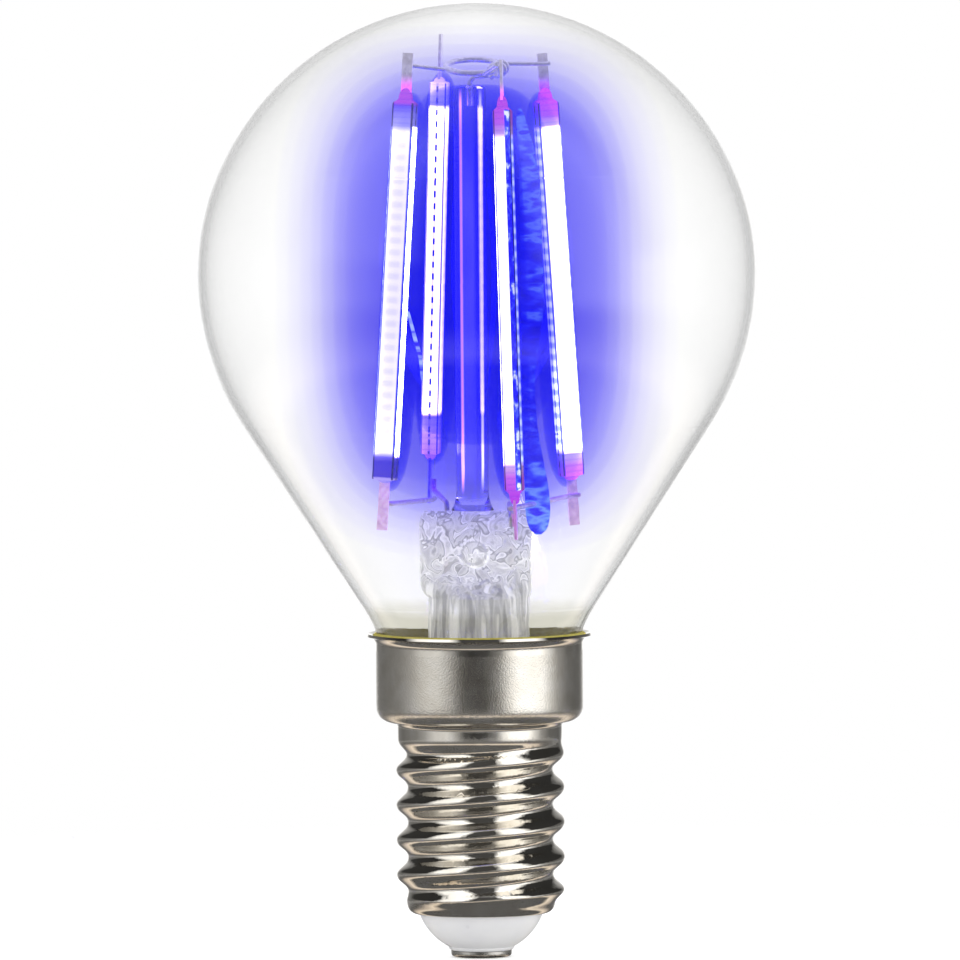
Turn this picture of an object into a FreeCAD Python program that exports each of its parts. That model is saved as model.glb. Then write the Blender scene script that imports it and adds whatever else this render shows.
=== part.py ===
# A small round bulb with four lit LED filaments on a glass stem and a screw cap.
# The origin is the middle of the centre contact's face, and +Z runs up the axis to the crown of the glass.
# +X is to the right and -Y is the front. Lengths are in millimetres and angles in degrees.
import FreeCAD, Part
import math
import os
import re

import Sketcher
from FreeCAD import Placement, Rotation, Vector

SIZES = {
    # Clearances: between fused or bonded pieces, at welds, and round loose fits
    "bond_gap": 0.02,
    "weld_gap": 0.03,
    "loose_gap": 0.05,
    # Glass envelope: a ball with a flatter crown, and a cone that bends into a straight neck
    "glass_diameter": 45.0,
    "crown_flattening": 0.7,
    "shoulder_step": 2.0,
    "cone_angle": 33.0,
    "neck_diameter": 15.4,
    "neck_bend": 10.0,
    "cone_foot_height": 25.745,
    "neck_end_height": 21.3,
    "glass_wall": 0.6,
    # Screw cap: one drawn sheet with a lip, a skirt, a rolled thread and a rolled-in lower edge
    "sheet_wall": 0.22,
    "lip_diameter": 18.1,
    "lip_bend": 0.75,
    "lip_height": 25.2,
    "skirt_diameter": 16.7,
    "skirt_corner": 1.2,
    "skirt_floor_height": 19.0,
    "collar_diameter": 13.3,
    "collar_bend": 0.4,
    "thread_crest_diameter": 13.6,
    "thread_root_diameter": 11.78,
    "thread_pitch": 2.822,
    "thread_round": 0.822,
    "thread_first_crest": 5.24,
    "thread_top_height": 17.7,
    "thread_top_fade": 1.5,
    "thread_low_height": 4.25,
    "thread_low_fade": 1.2,
    "edge_diameter": 12.0,
    "edge_bend": 0.8,
    "edge_opening": 9.9,
    "edge_height": 3.5,
    # Insulator and centre contact
    "contact_diameter": 4.9,
    "contact_thickness": 0.5,
    "contact_round": 0.3,
    "contact_pin_diameter": 1.8,
    "contact_pin_length": 6.5,
    "insulator_tip_diameter": 5.3,
    "insulator_tip_round": 0.3,
    "insulator_top_diameter": 10.0,
    "insulator_side_round": 5.0,
    "insulator_flange_rise": 0.72,
    "insulator_inside_height": 6.0,
    # Cement between the glass and the skirt
    "cement_depth": 3.5,
    "cement_rise": 1.05,
    "cement_bead_bulge": 0.15,
    "cement_lip_turn": 60.0,
    # Stem: flare, tube and flat press, with the exhaust tube, its hole and the support rod
    "stem_tube_diameter": 8.2,
    "stem_tube_wall": 0.9,
    "flare_rim_thickness": 0.8,
    "flare_bend": 3.0,
    "flare_rim_round": 0.2,
    "press_low_height": 29.2,
    "press_height": 7.0,
    "press_width": 9.0,
    "press_thickness": 3.4,
    "press_offset": -0.25,
    "press_shoulder": 2.0,
    "press_shoulder_share": 0.68,
    "press_top_round": 0.9,
    "cavity_rise": 1.2,
    "cavity_round": 1.0,
    "exhaust_diameter": 3.0,
    "exhaust_bore": 1.8,
    "exhaust_tip_height": 14.6,
    "exhaust_tip_wall": 1.2,
    "exhaust_hole_rise": 3.5,
    "exhaust_hole_diameter": 2.2,
    "rod_diameter": 2.6,
    "rod_top_rise": 15.1,
    "rod_offset": -0.45,
    "rod_foot_spread": 0.4,
    "rod_foot_rise": 1.6,
    "rod_top_round": 0.35,
    # Filaments: one clear coat each over a glass strip, its chips and two metal tabs
    "front_left_azimuth": 204.6,
    "front_left_drop": 1.3,
    "front_left_twist": 47.4,
    "back_left_azimuth": 117.9,
    "back_left_drop": -0.3,
    "back_left_twist": 52.0,
    "front_right_azimuth": 290.7,
    "front_right_drop": 1.9,
    "front_right_twist": 63.3,
    "back_right_azimuth": 22.6,
    "back_right_drop": 1.4,
    "back_right_twist": 87.4,
    "filament_top_radius": 6.15,
    "filament_low_radius": 8.2,
    "coat_length": 30.0,
    "coat_width": 2.0,
    "coat_depth": 1.7,
    "coat_corner": 0.45,
    "nose_length": 1.3,
    "nose_width": 1.1,
    "nose_depth": 0.8,
    "nose_corner": 0.25,
    "strip_length": 28.5,
    "strip_width": 1.0,
    "strip_thickness": 0.4,
    "chip_count": 28,
    "chip_length": 0.6,
    "chip_width": 0.5,
    "chip_thickness": 0.15,
    "lit_length": 26.3,
    "tab_width": 0.85,
    "tab_thickness": 0.2,
    "tab_reach": 19.1,
    # Wires: ring and arms above the rod, leads and jumpers at the press, copper seals inside it
    "ring_diameter": 4.5,
    "ring_wire_diameter": 0.5,
    "ring_offset": -0.1,
    "ring_rise": 16.65,
    "ring_tilt": 14.0,
    "anchor_wire_diameter": 0.4,
    "anchor_depth": 1.6,
    "anchor_rise": 0.6,
    "anchor_wrap_azimuth": -6.0,
    "anchor_wrap_turns": 3,
    "anchor_wrap_pitch": 0.56,
    "arm_wire_diameter": 0.34,
    "arm_rise": 16.8,
    "weld_foot": 0.5,
    "lead_wire_diameter": 0.42,
    "lead_offset": 2.5,
    "lead_root_rise": 4.2,
    "jumper_wire_diameter": 0.4,
    "left_jumper_start_drop": 0.64,
    "left_jumper_end_drop": 2.49,
    "right_jumper_start_drop": 0.39,
    "right_jumper_end_drop": 0.29,
    "left_weld_drop": 1.74,
    "right_weld_drop": 0.84,
    "weld_run": 0.9,
    "seal_wire_diameter": 0.4,
    "seal_low_rise": 1.8,
    "outer_lead_diameter": 0.4,
    "outer_lead_low_height": 16.4,
    "wire_bend": 0.6,
    # Driver in the cap: a board on edge with a bridge, a regulator, a capacitor and a fusible resistor
    "board_width": 8.8,
    "board_thickness": 1.0,
    "board_height": 10.6,
    "board_low_height": 6.8,
    "board_offset": 1.8,
    "bridge_width": 4.7,
    "bridge_height": 3.9,
    "bridge_thickness": 1.5,
    "bridge_low_height": 7.9,
    "regulator_width": 4.9,
    "regulator_height": 3.8,
    "regulator_thickness": 1.4,
    "regulator_low_height": 12.9,
    "capacitor_diameter": 3.8,
    "capacitor_length": 7.0,
    "capacitor_height": 9.7,
    "capacitor_groove": 0.2,
    "capacitor_groove_inset": 0.6,
    "resistor_diameter": 1.8,
    "resistor_length": 4.0,
    "resistor_waist": 0.15,
    "resistor_cap_length": 1.0,
    "resistor_height": 13.2,
    "resistor_front": 3.6,
    "hook_wire_diameter": 0.36,
    "hook_wire_run": 1.8,
    "contact_lead_reach": 2.9,
    "cap_lead_azimuth": 14.3,
}

doc = FreeCAD.newDocument("led_filament_bulb")
sheet = doc.addObject("Spreadsheet::Sheet", "sizes")
for row, (alias, number) in enumerate(SIZES.items(), start=1):
    sheet.set(f"A{row}", alias.replace("_", " "))
    sheet.set(f"B{row}", str(number))
    sheet.setAlias(f"B{row}", alias)
doc.recompute()

pieces = []


def tied(formula):
    """Puts the sheet's name before each size in a formula."""
    return re.sub(r"[a-z_]+", lambda word: "sizes." + word[0] if word[0] in SIZES else word[0], formula)


def worth(formula):
    """The number that a formula of sizes has now."""
    number = sheet.evalExpression(formula)
    return float(getattr(number, "Value", number))


def bind(thing, **formulas):
    """Ties properties to formulas. Two underscores stand for a dot in a property's path."""
    for path, formula in formulas.items():
        thing.setExpression(path.replace("__", "."), tied(formula))


def keep(thing, name):
    """Names a finished sub-part, which is also the name of its file."""
    thing.Label = name
    pieces.append(thing)
    return thing


def outline(body, plane, corners, height="0"):
    """A closed sketch on one of the body's planes, raised along the plane's normal.

    A corner is (x, y), reached by a straight edge, or (x, y, radius, side), reached by an arc.
    The side is 1 where the arc's centre is left of the way to the corner, and -1 where it is right.
    """
    sketch = body.newObject("Sketcher::SketchObject", f"{body.Name}_outline")
    support = [feature for feature in body.Origin.OriginFeatures if feature.Role == plane][0]
    sketch.AttachmentSupport = [(support, "")]
    sketch.MapMode = "FlatFace"
    bind(sketch, AttachmentOffset__Base__z=height)
    points = [Vector(worth(corner[0]), worth(corner[1]), 0) for corner in corners]
    for index, corner in enumerate(corners):
        start, end = points[index - 1], points[index]
        if len(corner) == 2:
            sketch.addGeometry(Part.LineSegment(start, end))
            continue
        radius = worth(corner[2])
        chord = end - start
        rise = radius - math.sqrt(radius**2 - (chord.Length / 2) ** 2)
        away = Vector(chord.y, -chord.x, 0).normalize() * corner[3]
        sketch.addGeometry(Part.Arc(start, (start + end) / 2 + away * rise, end))
    for index, corner in enumerate(corners):
        after = (index + 1) % len(corners)
        flows = len(corner) == 2 or corner[3] > 0
        end_point = 2 if flows else 1
        next_start = 1 if len(corners[after]) == 2 or corners[after][3] > 0 else 2
        sketch.addConstraint(Sketcher.Constraint("Coincident", index, end_point, after, next_start))
        for axis, formula, line in (("DistanceX", corner[0], -2), ("DistanceY", corner[1], -1)):
            if formula == "0":
                sketch.addConstraint(Sketcher.Constraint("PointOnObject", index, end_point, line))
                continue
            place = Sketcher.Constraint(axis, -1, 1, index, end_point, worth(formula))
            number = sketch.addConstraint(place)
            sketch.setExpression(f"Constraints[{number}]", tied(formula))
        if len(corner) > 2:
            number = sketch.addConstraint(Sketcher.Constraint("Radius", index, worth(corner[2])))
            sketch.setExpression(f"Constraints[{number}]", tied(corner[2]))
    return sketch


def turned(name, corners):
    """A body of revolution about the Z axis. Its corners are (radius, height)."""
    body = doc.addObject("PartDesign::Body", name)
    turn = body.newObject("PartDesign::Revolution", f"{name}_turn")
    turn.Profile = outline(body, "XZ_Plane", corners)
    turn.ReferenceAxis = (turn.Profile[0], ["V_Axis"])
    turn.Angle = 360
    return body


def bar(name, corners, low, length):
    """A body with the same section all along Z, from the height low up."""
    body = doc.addObject("PartDesign::Body", name)
    pad = body.newObject("PartDesign::Pad", f"{name}_pad")
    pad.Profile = outline(body, "XY_Plane", corners, low)
    bind(pad, Length=length)
    return body


def rectangle(half_width, back, front):
    """The corners of a rectangle that is centred on X and runs from front to back along Y."""
    return [(f"-{half_width}", front), (half_width, front), (half_width, back), (f"-{half_width}", back)]


def rounded(width, depth, corner):
    """The corners of a centred rectangle with round corners."""
    side, edge = f"{width}/2", f"{depth}/2"
    return [
        (f"{side}-{corner}", f"-{edge}"),
        (side, f"{corner}-{edge}", corner, 1),
        (side, f"{edge}-{corner}"),
        (f"{side}-{corner}", edge, corner, 1),
        (f"{corner}-{side}", edge),
        (f"-{side}", f"{edge}-{corner}", corner, 1),
        (f"-{side}", f"{corner}-{edge}"),
        (f"{corner}-{side}", f"-{edge}", corner, 1),
    ]


def bent_wire(points, diameter):
    """A round wire along straight runs that arcs join, each no larger than its two runs allow."""
    bend = worth("wire_bend")
    edges = []
    start = points[0]
    for before, corner, after in zip(points, points[1:], points[2:]):
        back = (before - corner).normalize()
        ahead = (after - corner).normalize()
        half_angle = math.radians(180 - math.degrees(back.getAngle(ahead))) / 2
        room = 0.45 * min(before.distanceToPoint(corner), after.distanceToPoint(corner))
        reach = min(bend * math.tan(half_angle), room)
        radius = reach / math.tan(half_angle)
        middle = corner + (back + ahead).normalize() * (radius / math.cos(half_angle) - radius)
        arc = Part.Arc(corner + back * reach, middle, corner + ahead * reach)
        edges += [Part.LineSegment(start, corner + back * reach).toShape(), arc.toShape()]
        start = corner + ahead * reach
    edges.append(Part.LineSegment(start, points[-1]).toShape())
    circle = Part.makeCircle(worth(diameter) / 2, points[0], points[1] - points[0])
    return Part.Wire(edges).makePipeShell([Part.Wire([circle])], True, False)


def wire_piece(name, points, diameter):
    """A bent wire as a finished sub-part."""
    wire = doc.addObject("Part::Feature", name)
    wire.Shape = bent_wire(points, diameter)
    return keep(wire, name)


def made_from(kind, name, base, tools):
    """A base with other objects cut from it or fused to it."""
    made = doc.addObject(f"Part::{kind}", name)
    if kind == "MultiFuse":
        made.Shapes = [base] + tools
        return made
    made.Base = base
    made.Tool = tools[0] if len(tools) == 1 else made_from("MultiFuse", f"{name}_tools", tools[0], tools[1:])
    return made


# Glass envelope. The crown arc and the shoulder arc are tangent, and so are the ball, the cone and the bend.
ball = "(glass_diameter/2)"
shoulder = f"({ball}-shoulder_step)"
crown_rise = f"({ball}-crown_flattening)"
crown_excess = "(shoulder_step-crown_flattening)"
crown_drop = f"((shoulder_step^2-{crown_excess}^2)/(2*{crown_excess}))"
crown_radius = f"({crown_rise}+{crown_drop})"
neck = "(neck_diameter/2)"
bend_reach = "(neck_bend*tan(cone_angle/2))"
bend_low = f"(cone_foot_height-{bend_reach})"
cone_run = f"(({ball}*cos(cone_angle)-{neck})/tan(cone_angle))"
equator = f"(cone_foot_height+{cone_run}+{ball}*sin(cone_angle))"


def glass_wall_corners(wall):
    """The meridian from the neck up to the crown, moved inwards by the wall. Its arcs turn left."""
    join = f"({shoulder}-{wall})/({crown_radius}-{shoulder})"
    return [
        (f"{neck}-{wall}", "neck_end_height"),
        (f"{neck}-{wall}", bend_low),
        (
            f"{neck}+{bend_reach}*sin(cone_angle)-{wall}*cos(cone_angle)",
            f"cone_foot_height+{bend_reach}*cos(cone_angle)+{wall}*sin(cone_angle)",
            f"neck_bend+{wall}",
            -1,
        ),
        (f"({ball}-{wall})*cos(cone_angle)", f"{equator}-({ball}-{wall})*sin(cone_angle)"),
        (f"{ball}-{wall}", equator, f"{ball}-{wall}", 1),
        (f"shoulder_step*(1+{join})", f"{equator}+{crown_drop}*{join}", f"{shoulder}-{wall}", 1),
        ("0", f"{equator}+{crown_rise}-{wall}", f"{crown_radius}-{wall}", 1),
    ]


def backwards(corners):
    """The same line walked the other way, so each arc turns the other way and ends at the corner before."""
    walked = [corners[-1][:2]]
    for corner, before in zip(corners[:0:-1], corners[-2::-1]):
        bend = (corner[2], -corner[3]) if len(corner) > 2 else ()
        walked.append(before[:2] + bend)
    return walked


inner_wall = backwards(glass_wall_corners("glass_wall"))
keep(turned("glass_envelope", glass_wall_corners("0") + inner_wall), "glass_envelope")

# Stem: the flare and its tube are turned, and the press is lofted from the round tube to a flat oval.
tube = "(stem_tube_diameter/2)"
press_top = "(press_low_height+press_height)"
exhaust_hole_level = "(press_low_height+exhaust_hole_rise)"
lead_root = "(press_low_height+lead_root_rise)"
seal_low = "(press_low_height+seal_low_rise)"
bore = f"({tube}-stem_tube_wall)"
flare_top = "(neck_end_height-bond_gap)"
flare_low = f"({flare_top}-flare_rim_thickness)"
flare_tube = turned(
    "flare_tube",
    [
        (f"{tube}+flare_bend", flare_low, "flare_bend+stem_tube_wall", 1),
        (f"{neck}-flare_rim_round", flare_low),
        (neck, f"{flare_low}+flare_rim_round", "flare_rim_round", 1),
        (neck, flare_top),
        (f"{tube}+flare_bend", flare_top),
        (tube, f"{flare_top}+flare_bend", "flare_bend", -1),
        (tube, "press_low_height"),
        (bore, "press_low_height"),
        (bore, f"{flare_low}+flare_bend+stem_tube_wall"),
    ],
)
press_sections = [doc.addObject("Part::Circle", "press_foot")]
bind(press_sections[0], Radius=tube, Placement__Base__z="press_low_height")
press_levels = [
    ("press_width/2", "press_thickness*press_shoulder_share", "press_low_height+press_shoulder"),
    ("press_width/2", "press_thickness/2", "press_low_height+press_shoulder*2"),
    ("press_width/2", "press_thickness/2", f"{press_top}-press_top_round"),
    ("press_width/2-press_top_round/2", "press_thickness/2-press_top_round/2", press_top),
]
for half_width, half_depth, level in press_levels:
    oval = doc.addObject("Part::Ellipse", "press_oval")
    bind(oval, MajorRadius=half_width, MinorRadius=half_depth)
    bind(oval, Placement__Base__x="press_offset", Placement__Base__z=level)
    press_sections.append(oval)
press = doc.addObject("Part::Loft", "press")
press.Sections = press_sections
press.Solid = True
cavity_top = "(press_low_height+cavity_rise)"
cavity = turned(
    "stem_cavity",
    [
        ("0", "press_low_height-cavity_round"),
        (bore, "press_low_height-cavity_round"),
        (bore, f"{cavity_top}-cavity_round"),
        (f"{bore}-cavity_round", cavity_top, "cavity_round", 1),
        ("0", cavity_top),
    ],
)
hole_rise = doc.addObject("Part::Cylinder", "exhaust_hole_rise")
bind(hole_rise, Radius="exhaust_bore/2", Height=f"{exhaust_hole_level}-{cavity_top}+bond_gap")
bind(hole_rise, Placement__Base__z=f"{cavity_top}-bond_gap")
hole_mouth = doc.addObject("Part::Cylinder", "exhaust_hole_mouth")
bind(hole_mouth, Radius="exhaust_hole_diameter/2", Height="press_thickness")
bind(hole_mouth, Placement=f"placement(vector(press_offset; 0; {exhaust_hole_level}); rotation(0; 0; 90))")

# Exhaust tube, sealed at its lower tip
exhaust = "(exhaust_diameter/2)"
keep(
    turned(
        "exhaust_tube",
        [
            ("0", "exhaust_tip_height"),
            (exhaust, f"exhaust_tip_height+{exhaust}", exhaust, 1),
            (exhaust, f"{cavity_top}-bond_gap"),
            ("exhaust_bore/2", f"{cavity_top}-bond_gap"),
            ("exhaust_bore/2", "exhaust_tip_height+exhaust_tip_wall+exhaust_bore/2"),
            ("0", "exhaust_tip_height+exhaust_tip_wall", "exhaust_bore/2", -1),
        ],
    ),
    "exhaust_tube",
)

# Support rod, drawn out of the press and holding the anchor wire in its top
rod = "(rod_diameter/2)"
rod_top = f"({equator}+rod_top_rise)"
rod_foot_bend = "((rod_foot_spread^2+rod_foot_rise^2)/(2*rod_foot_spread))"
support_rod = turned(
    "support_rod",
    [
        ("0", f"{press_top}+bond_gap"),
        (f"{rod}+rod_foot_spread", f"{press_top}+bond_gap"),
        (rod, f"{press_top}+bond_gap+rod_foot_rise", rod_foot_bend, -1),
        (rod, f"{rod_top}-rod_top_round"),
        (f"{rod}-rod_top_round", rod_top, "rod_top_round", 1),
        ("anchor_wire_diameter/2", rod_top),
        ("anchor_wire_diameter/2", f"{rod_top}-anchor_depth"),
        ("0", f"{rod_top}-anchor_depth"),
    ],
)
bind(support_rod, Placement__Base__x="rod_offset")
keep(support_rod, "support_rod")

# Filaments. Each is built upright about its own middle, with the chips on the outer side. It is then twisted
# about its own line, as welding by hand leaves it, and leans out.
lean = "asin((filament_low_radius-filament_top_radius)/coat_length)"
coat_middle = "((filament_top_radius+filament_low_radius)/2)"
FILAMENTS = ("front_left", "back_left", "front_right", "back_right")


def filament_placement(side):
    """The formula of a filament's placement."""
    turn = f"{side}_azimuth"
    spot = f"vector({coat_middle}*cos({turn}); {coat_middle}*sin({turn}); {equator}-{side}_drop)"
    twisted = f"placement(vector(0; 0; 0); rotation({side}_twist; 0; 0))"
    return f"placement({spot}; rotation({turn}-90; 0; {lean})) * {twisted}"


def on_filament(side, across, outwards, along):
    """A point of a filament, given from its middle as formulas across, outwards and along it."""
    turn = math.radians(worth(f"{side}_azimuth"))
    middle = worth(coat_middle)
    spot = Vector(middle * math.cos(turn), middle * math.sin(turn), worth(f"{equator}-{side}_drop"))
    leaning = Rotation(worth(f"{side}_azimuth") - 90, 0, worth(lean))
    point = Vector(worth(across), worth(outwards), worth(along))
    twisted = Rotation(worth(f"{side}_twist"), 0, 0).multVec(point)
    return Placement(spot, leaning).multVec(twisted)


def along_at(side, rise):
    """How far along a filament a height over the equator lies, from its middle."""
    return worth(f"{rise}+{side}_drop") / math.cos(math.radians(worth(lean)))


for side in FILAMENTS:
    strip = bar(
        f"{side}_strip",
        rectangle("strip_width/2", "strip_thickness/2", "-strip_thickness/2"),
        "-strip_length/2",
        "strip_length",
    )
    chips = bar(
        f"{side}_chips",
        rectangle("chip_width/2", "strip_thickness/2+chip_thickness", "strip_thickness/2"),
        "-lit_length/2",
        "chip_length",
    )
    chips.AllowCompound = True
    doc.recompute()
    first_chip = chips.Tip
    row_of_chips = chips.newObject("PartDesign::LinearPattern", f"{side}_chip_row")
    row_of_chips.Originals = [first_chip]
    row_of_chips.Direction = (first_chip.Profile[0], ["N_Axis"])
    bind(row_of_chips, Length="lit_length-chip_length", Occurrences="chip_count")
    chips.Tip = row_of_chips
    tabs = []
    for end, low in (("top_tab", "strip_length/2+bond_gap"), ("low_tab", "-tab_reach")):
        section = rectangle("tab_width/2", "tab_thickness/2", "-tab_thickness/2")
        tabs.append(bar(f"{side}_{end}", section, low, "tab_reach-strip_length/2-bond_gap"))
    coat_section = rounded("coat_width", "coat_depth", "coat_corner")
    blank = bar(f"{side}_coat_blank", coat_section, "-coat_length/2", "coat_length")
    nose = blank.newObject("PartDesign::AdditiveLoft", f"{side}_nose")
    nose.Profile = outline(blank, "XY_Plane", coat_section, "coat_length/2")
    tip_section = rounded("nose_width", "nose_depth", "nose_corner")
    nose.Sections = [outline(blank, "XY_Plane", tip_section, "coat_length/2+nose_length")]
    mirror = blank.newObject("PartDesign::Mirrored", f"{side}_noses")
    mirror.Originals = [nose]
    mirror.MirrorPlane = ([f for f in blank.Origin.OriginFeatures if f.Role == "XY_Plane"][0], [""])
    blank.Tip = mirror
    for member in [strip, chips, blank] + tabs:
        bind(member, Placement=filament_placement(side))
    coat = made_from("Cut", f"{side}_coat", blank, [strip, chips] + tabs)
    for member, name in ((coat, "coat"), (strip, "strip"), (chips, "chips")):
        keep(member, f"{side}_{name}")
    keep(tabs[0], f"{side}_top_tab")
    keep(tabs[1], f"{side}_low_tab")

# Ring above the rod, tilted down to the front, with an arm to each top tab. The anchor wire rises out of the
# rod and is wound round the ring. Its corners lie so far out that the middles of its straight runs clear it.
ring_level = f"({equator}+ring_rise)"
ring_radius = worth("ring_diameter/2")
ring_drop = math.radians(worth("ring_tilt"))
ring = keep(doc.addObject("Part::Torus", "top_ring"), "top_ring")
bind(ring, Radius1="ring_diameter/2", Radius2="ring_wire_diameter/2")
bind(ring, Placement=f"placement(vector(ring_offset; 0; {ring_level}); rotation(0; 0; ring_tilt))")


def by_ring(azimuth, step):
    """A point in the ring's plane at an azimuth, a step outside or inside its wire's middle."""
    reach = ring_radius + step
    sideways, forwards = reach * math.cos(azimuth), reach * math.sin(azimuth)
    lift = forwards * math.sin(ring_drop)
    return Vector(worth("ring_offset") + sideways, forwards * math.cos(ring_drop), worth(ring_level) + lift)


def round_ring(azimuth, turn, step):
    """A point beside the ring's wire: a turn of 0 is outwards, and a quarter turn is up."""
    middle = by_ring(azimuth, 0)
    outwards = by_ring(azimuth, 1) - middle
    upwards = Vector(0, -math.sin(ring_drop), math.cos(ring_drop))
    return middle + outwards * (step * math.cos(turn)) + upwards * (step * math.sin(turn))


corner_turn = math.radians(45)
anchor_step = worth("ring_wire_diameter/2+anchor_wire_diameter/2+weld_gap") / math.cos(corner_turn / 2)
anchor_wrap = []
for corner in range(int(worth("anchor_wrap_turns*8")) + 1):
    turn = math.radians(-90) + corner * corner_turn
    run = corner * worth("anchor_wrap_pitch") / 8
    azimuth = math.radians(worth("anchor_wrap_azimuth")) - run / ring_radius
    anchor_wrap.append(round_ring(azimuth, turn, anchor_step))
anchor_foot = Vector(worth("rod_offset"), 0, worth(f"{rod_top}-anchor_depth+bond_gap"))
anchor_knee = Vector(worth("rod_offset"), 0, worth(f"{rod_top}+anchor_rise"))
wire_piece("anchor_wire", [anchor_foot, anchor_knee] + anchor_wrap, "anchor_wire_diameter")

arm_step = worth("ring_wire_diameter/2+weld_gap")
for side in FILAMENTS:
    inset = "-tab_thickness/2-arm_wire_diameter/2-weld_gap"
    along = str(along_at(side, "arm_rise"))
    knee = on_filament(side, "0", inset, along)
    foot = on_filament(side, "weld_foot", inset, along)
    centre = by_ring(0, -ring_radius)
    azimuth = math.atan2(knee.y - centre.y, knee.x - centre.x)
    wire_piece(f"{side}_arm", [by_ring(azimuth, arm_step), knee, foot], "arm_wire_diameter")


# Leads out of the press, jumpers between neighbouring low tabs, copper seals and outer leads
coat_end = "(coat_length/2+nose_length)"


def low_weld(side, drop, across, wire):
    """A point off the inner face of a filament's low tab, so far under its coat, for a wire to lie on."""
    return on_filament(side, across, f"-tab_thickness/2-{wire}/2-weld_gap", f"-{coat_end}-{drop}")


def jumper(name, start, end):
    """A wire between two low tabs, with its ends bent flat onto them."""
    wire = "jumper_wire_diameter"
    points = [
        low_weld(start, f"{name}_start_drop", "weld_foot", wire),
        low_weld(start, f"{name}_start_drop", "-weld_foot", wire),
        low_weld(end, f"{name}_end_drop", "-weld_foot", wire),
        low_weld(end, f"{name}_end_drop", "weld_foot", wire),
    ]
    wire_piece(name, points, wire)


jumper("left_jumper", "front_left", "back_left")
jumper("right_jumper", "back_right", "front_right")

for hand, sign, side in (("left", -1, "back_left"), ("right", 1, "front_right")):
    offset = sign * worth("lead_offset")
    root = Vector(offset, 0, worth(lead_root))
    rise = Vector(offset, 0, worth(f"{press_top}+wire_bend"))
    weld = low_weld(side, f"{hand}_weld_drop", "0", "lead_wire_diameter")
    weld_end = low_weld(side, f"({hand}_weld_drop+{sign}*weld_run)", "0", "lead_wire_diameter")
    wire_piece(f"{hand}_lead", [root, rise, weld, weld_end], "lead_wire_diameter")
    seal = doc.addObject("Part::Cylinder", f"{hand}_seal")
    bind(seal, Radius="seal_wire_diameter/2", Height=f"{lead_root}-{seal_low}")
    bind(seal, Placement__Base__x=f"{sign}*lead_offset", Placement__Base__z=seal_low)
    keep(seal, f"{hand}_seal")
    board_gap = worth("board_offset-outer_lead_diameter/2-weld_gap")
    low = worth("outer_lead_low_height")
    path = [
        Vector(offset, 0, worth(seal_low)),
        Vector(offset, 0, worth(flare_low)),
        Vector(offset, board_gap, low + worth("wire_bend") * 2),
        Vector(offset, board_gap, low),
    ]
    wire_piece(f"{hand}_outer_lead", path, "outer_lead_diameter")

stem_blank = made_from("MultiFuse", "stem_blank", flare_tube, [press])
sealed_names = [f"{hand}_{wire}" for hand in ("left", "right") for wire in ("lead", "seal", "outer_lead")]
sealed_in = [piece for piece in pieces if piece.Label in sealed_names]
keep(made_from("Cut", "stem", stem_blank, [cavity, hole_rise, hole_mouth] + sealed_in), "stem")


# Screw cap. Its meridian is walked from the lip down, and the wave of the thread is added along the way.
# Its spline surfaces have this many control points round the cap, and to each pitch of the thread.
# The plain skirt and each bend of the sheet have theirs too.
AROUND = 24
THREAD_STEPS = 9
SKIRT_STEPS = 6
BEND_STEPS = 6


def cap_meridian():
    """Points (radius, height, wave) of the sheet's outer face, where wave is the thread's share there."""
    skirt = worth("skirt_diameter/2")
    line = []
    lip = worth("lip_bend")
    lip_turn = math.degrees(math.acos((skirt + lip - worth("lip_diameter/2")) / lip))
    for step in range(BEND_STEPS + 1):
        turn = math.radians(lip_turn * (1 - step / BEND_STEPS))
        line.append((skirt + lip - lip * math.cos(turn), worth("lip_height") + lip * math.sin(turn), 0))
    corner = worth("skirt_corner")
    corner_height = worth("skirt_floor_height") + corner
    plain = corner_height - worth("lip_height")
    for step in range(1, SKIRT_STEPS):
        line.append((skirt, worth("lip_height") + plain * step / SKIRT_STEPS, 0))
    for step in range(BEND_STEPS + 1):
        turn = math.pi / 2 * step / BEND_STEPS
        line.append((skirt - corner * (1 - math.cos(turn)), corner_height - corner * math.sin(turn), 0))
    collar = worth("collar_diameter/2")
    bend = worth("collar_bend")
    floor = worth("skirt_floor_height")
    for step in range(BEND_STEPS):
        turn = math.pi / 2 * step / (BEND_STEPS - 1)
        line.append((collar + bend * (1 - math.sin(turn)), floor - bend * (1 - math.cos(turn)), 0))
    top, low = worth("thread_top_height"), worth("thread_low_height")
    mean = worth("(thread_crest_diameter+thread_root_diameter)/4")
    edge = worth("edge_diameter/2")
    count = math.ceil((top - low) / worth("thread_pitch") * THREAD_STEPS)
    for step in range(count + 1):
        height = top + (low - top) * step / count
        down = min(1, (top - height) / worth("thread_top_fade"))
        up = min(1, (height - low) / worth("thread_low_fade"))
        down, up = down**2 * (3 - 2 * down), up**2 * (3 - 2 * up)
        line.append((mean + (collar - mean) * (1 - down) + (edge - mean) * (1 - up), height, down * up))
    bend = worth("edge_bend")
    edge_height = worth("edge_height")
    for step in range(1, BEND_STEPS + 1):
        turn = math.pi / 2 * step / BEND_STEPS
        line.append((edge - bend * (1 - math.cos(turn)), edge_height + bend * (1 - math.sin(turn)), 0))
    line.append((worth("edge_opening/2"), edge_height, 0))
    return line


def knuckle(pitches):
    """The thread's wave, 1 on a crest and -1 in a root: equal arcs that meet midway between the two."""
    along = abs((pitches + 0.5) % 1 - 0.5)
    from_arc = min(along, 0.5 - along) * worth("thread_pitch")
    arc = worth("thread_round")
    join = math.sqrt(arc**2 - (worth("thread_pitch") / 4) ** 2)
    share = (math.sqrt(arc**2 - from_arc**2) - join) / (arc - join)
    return share if along < 0.25 else -share


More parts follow.
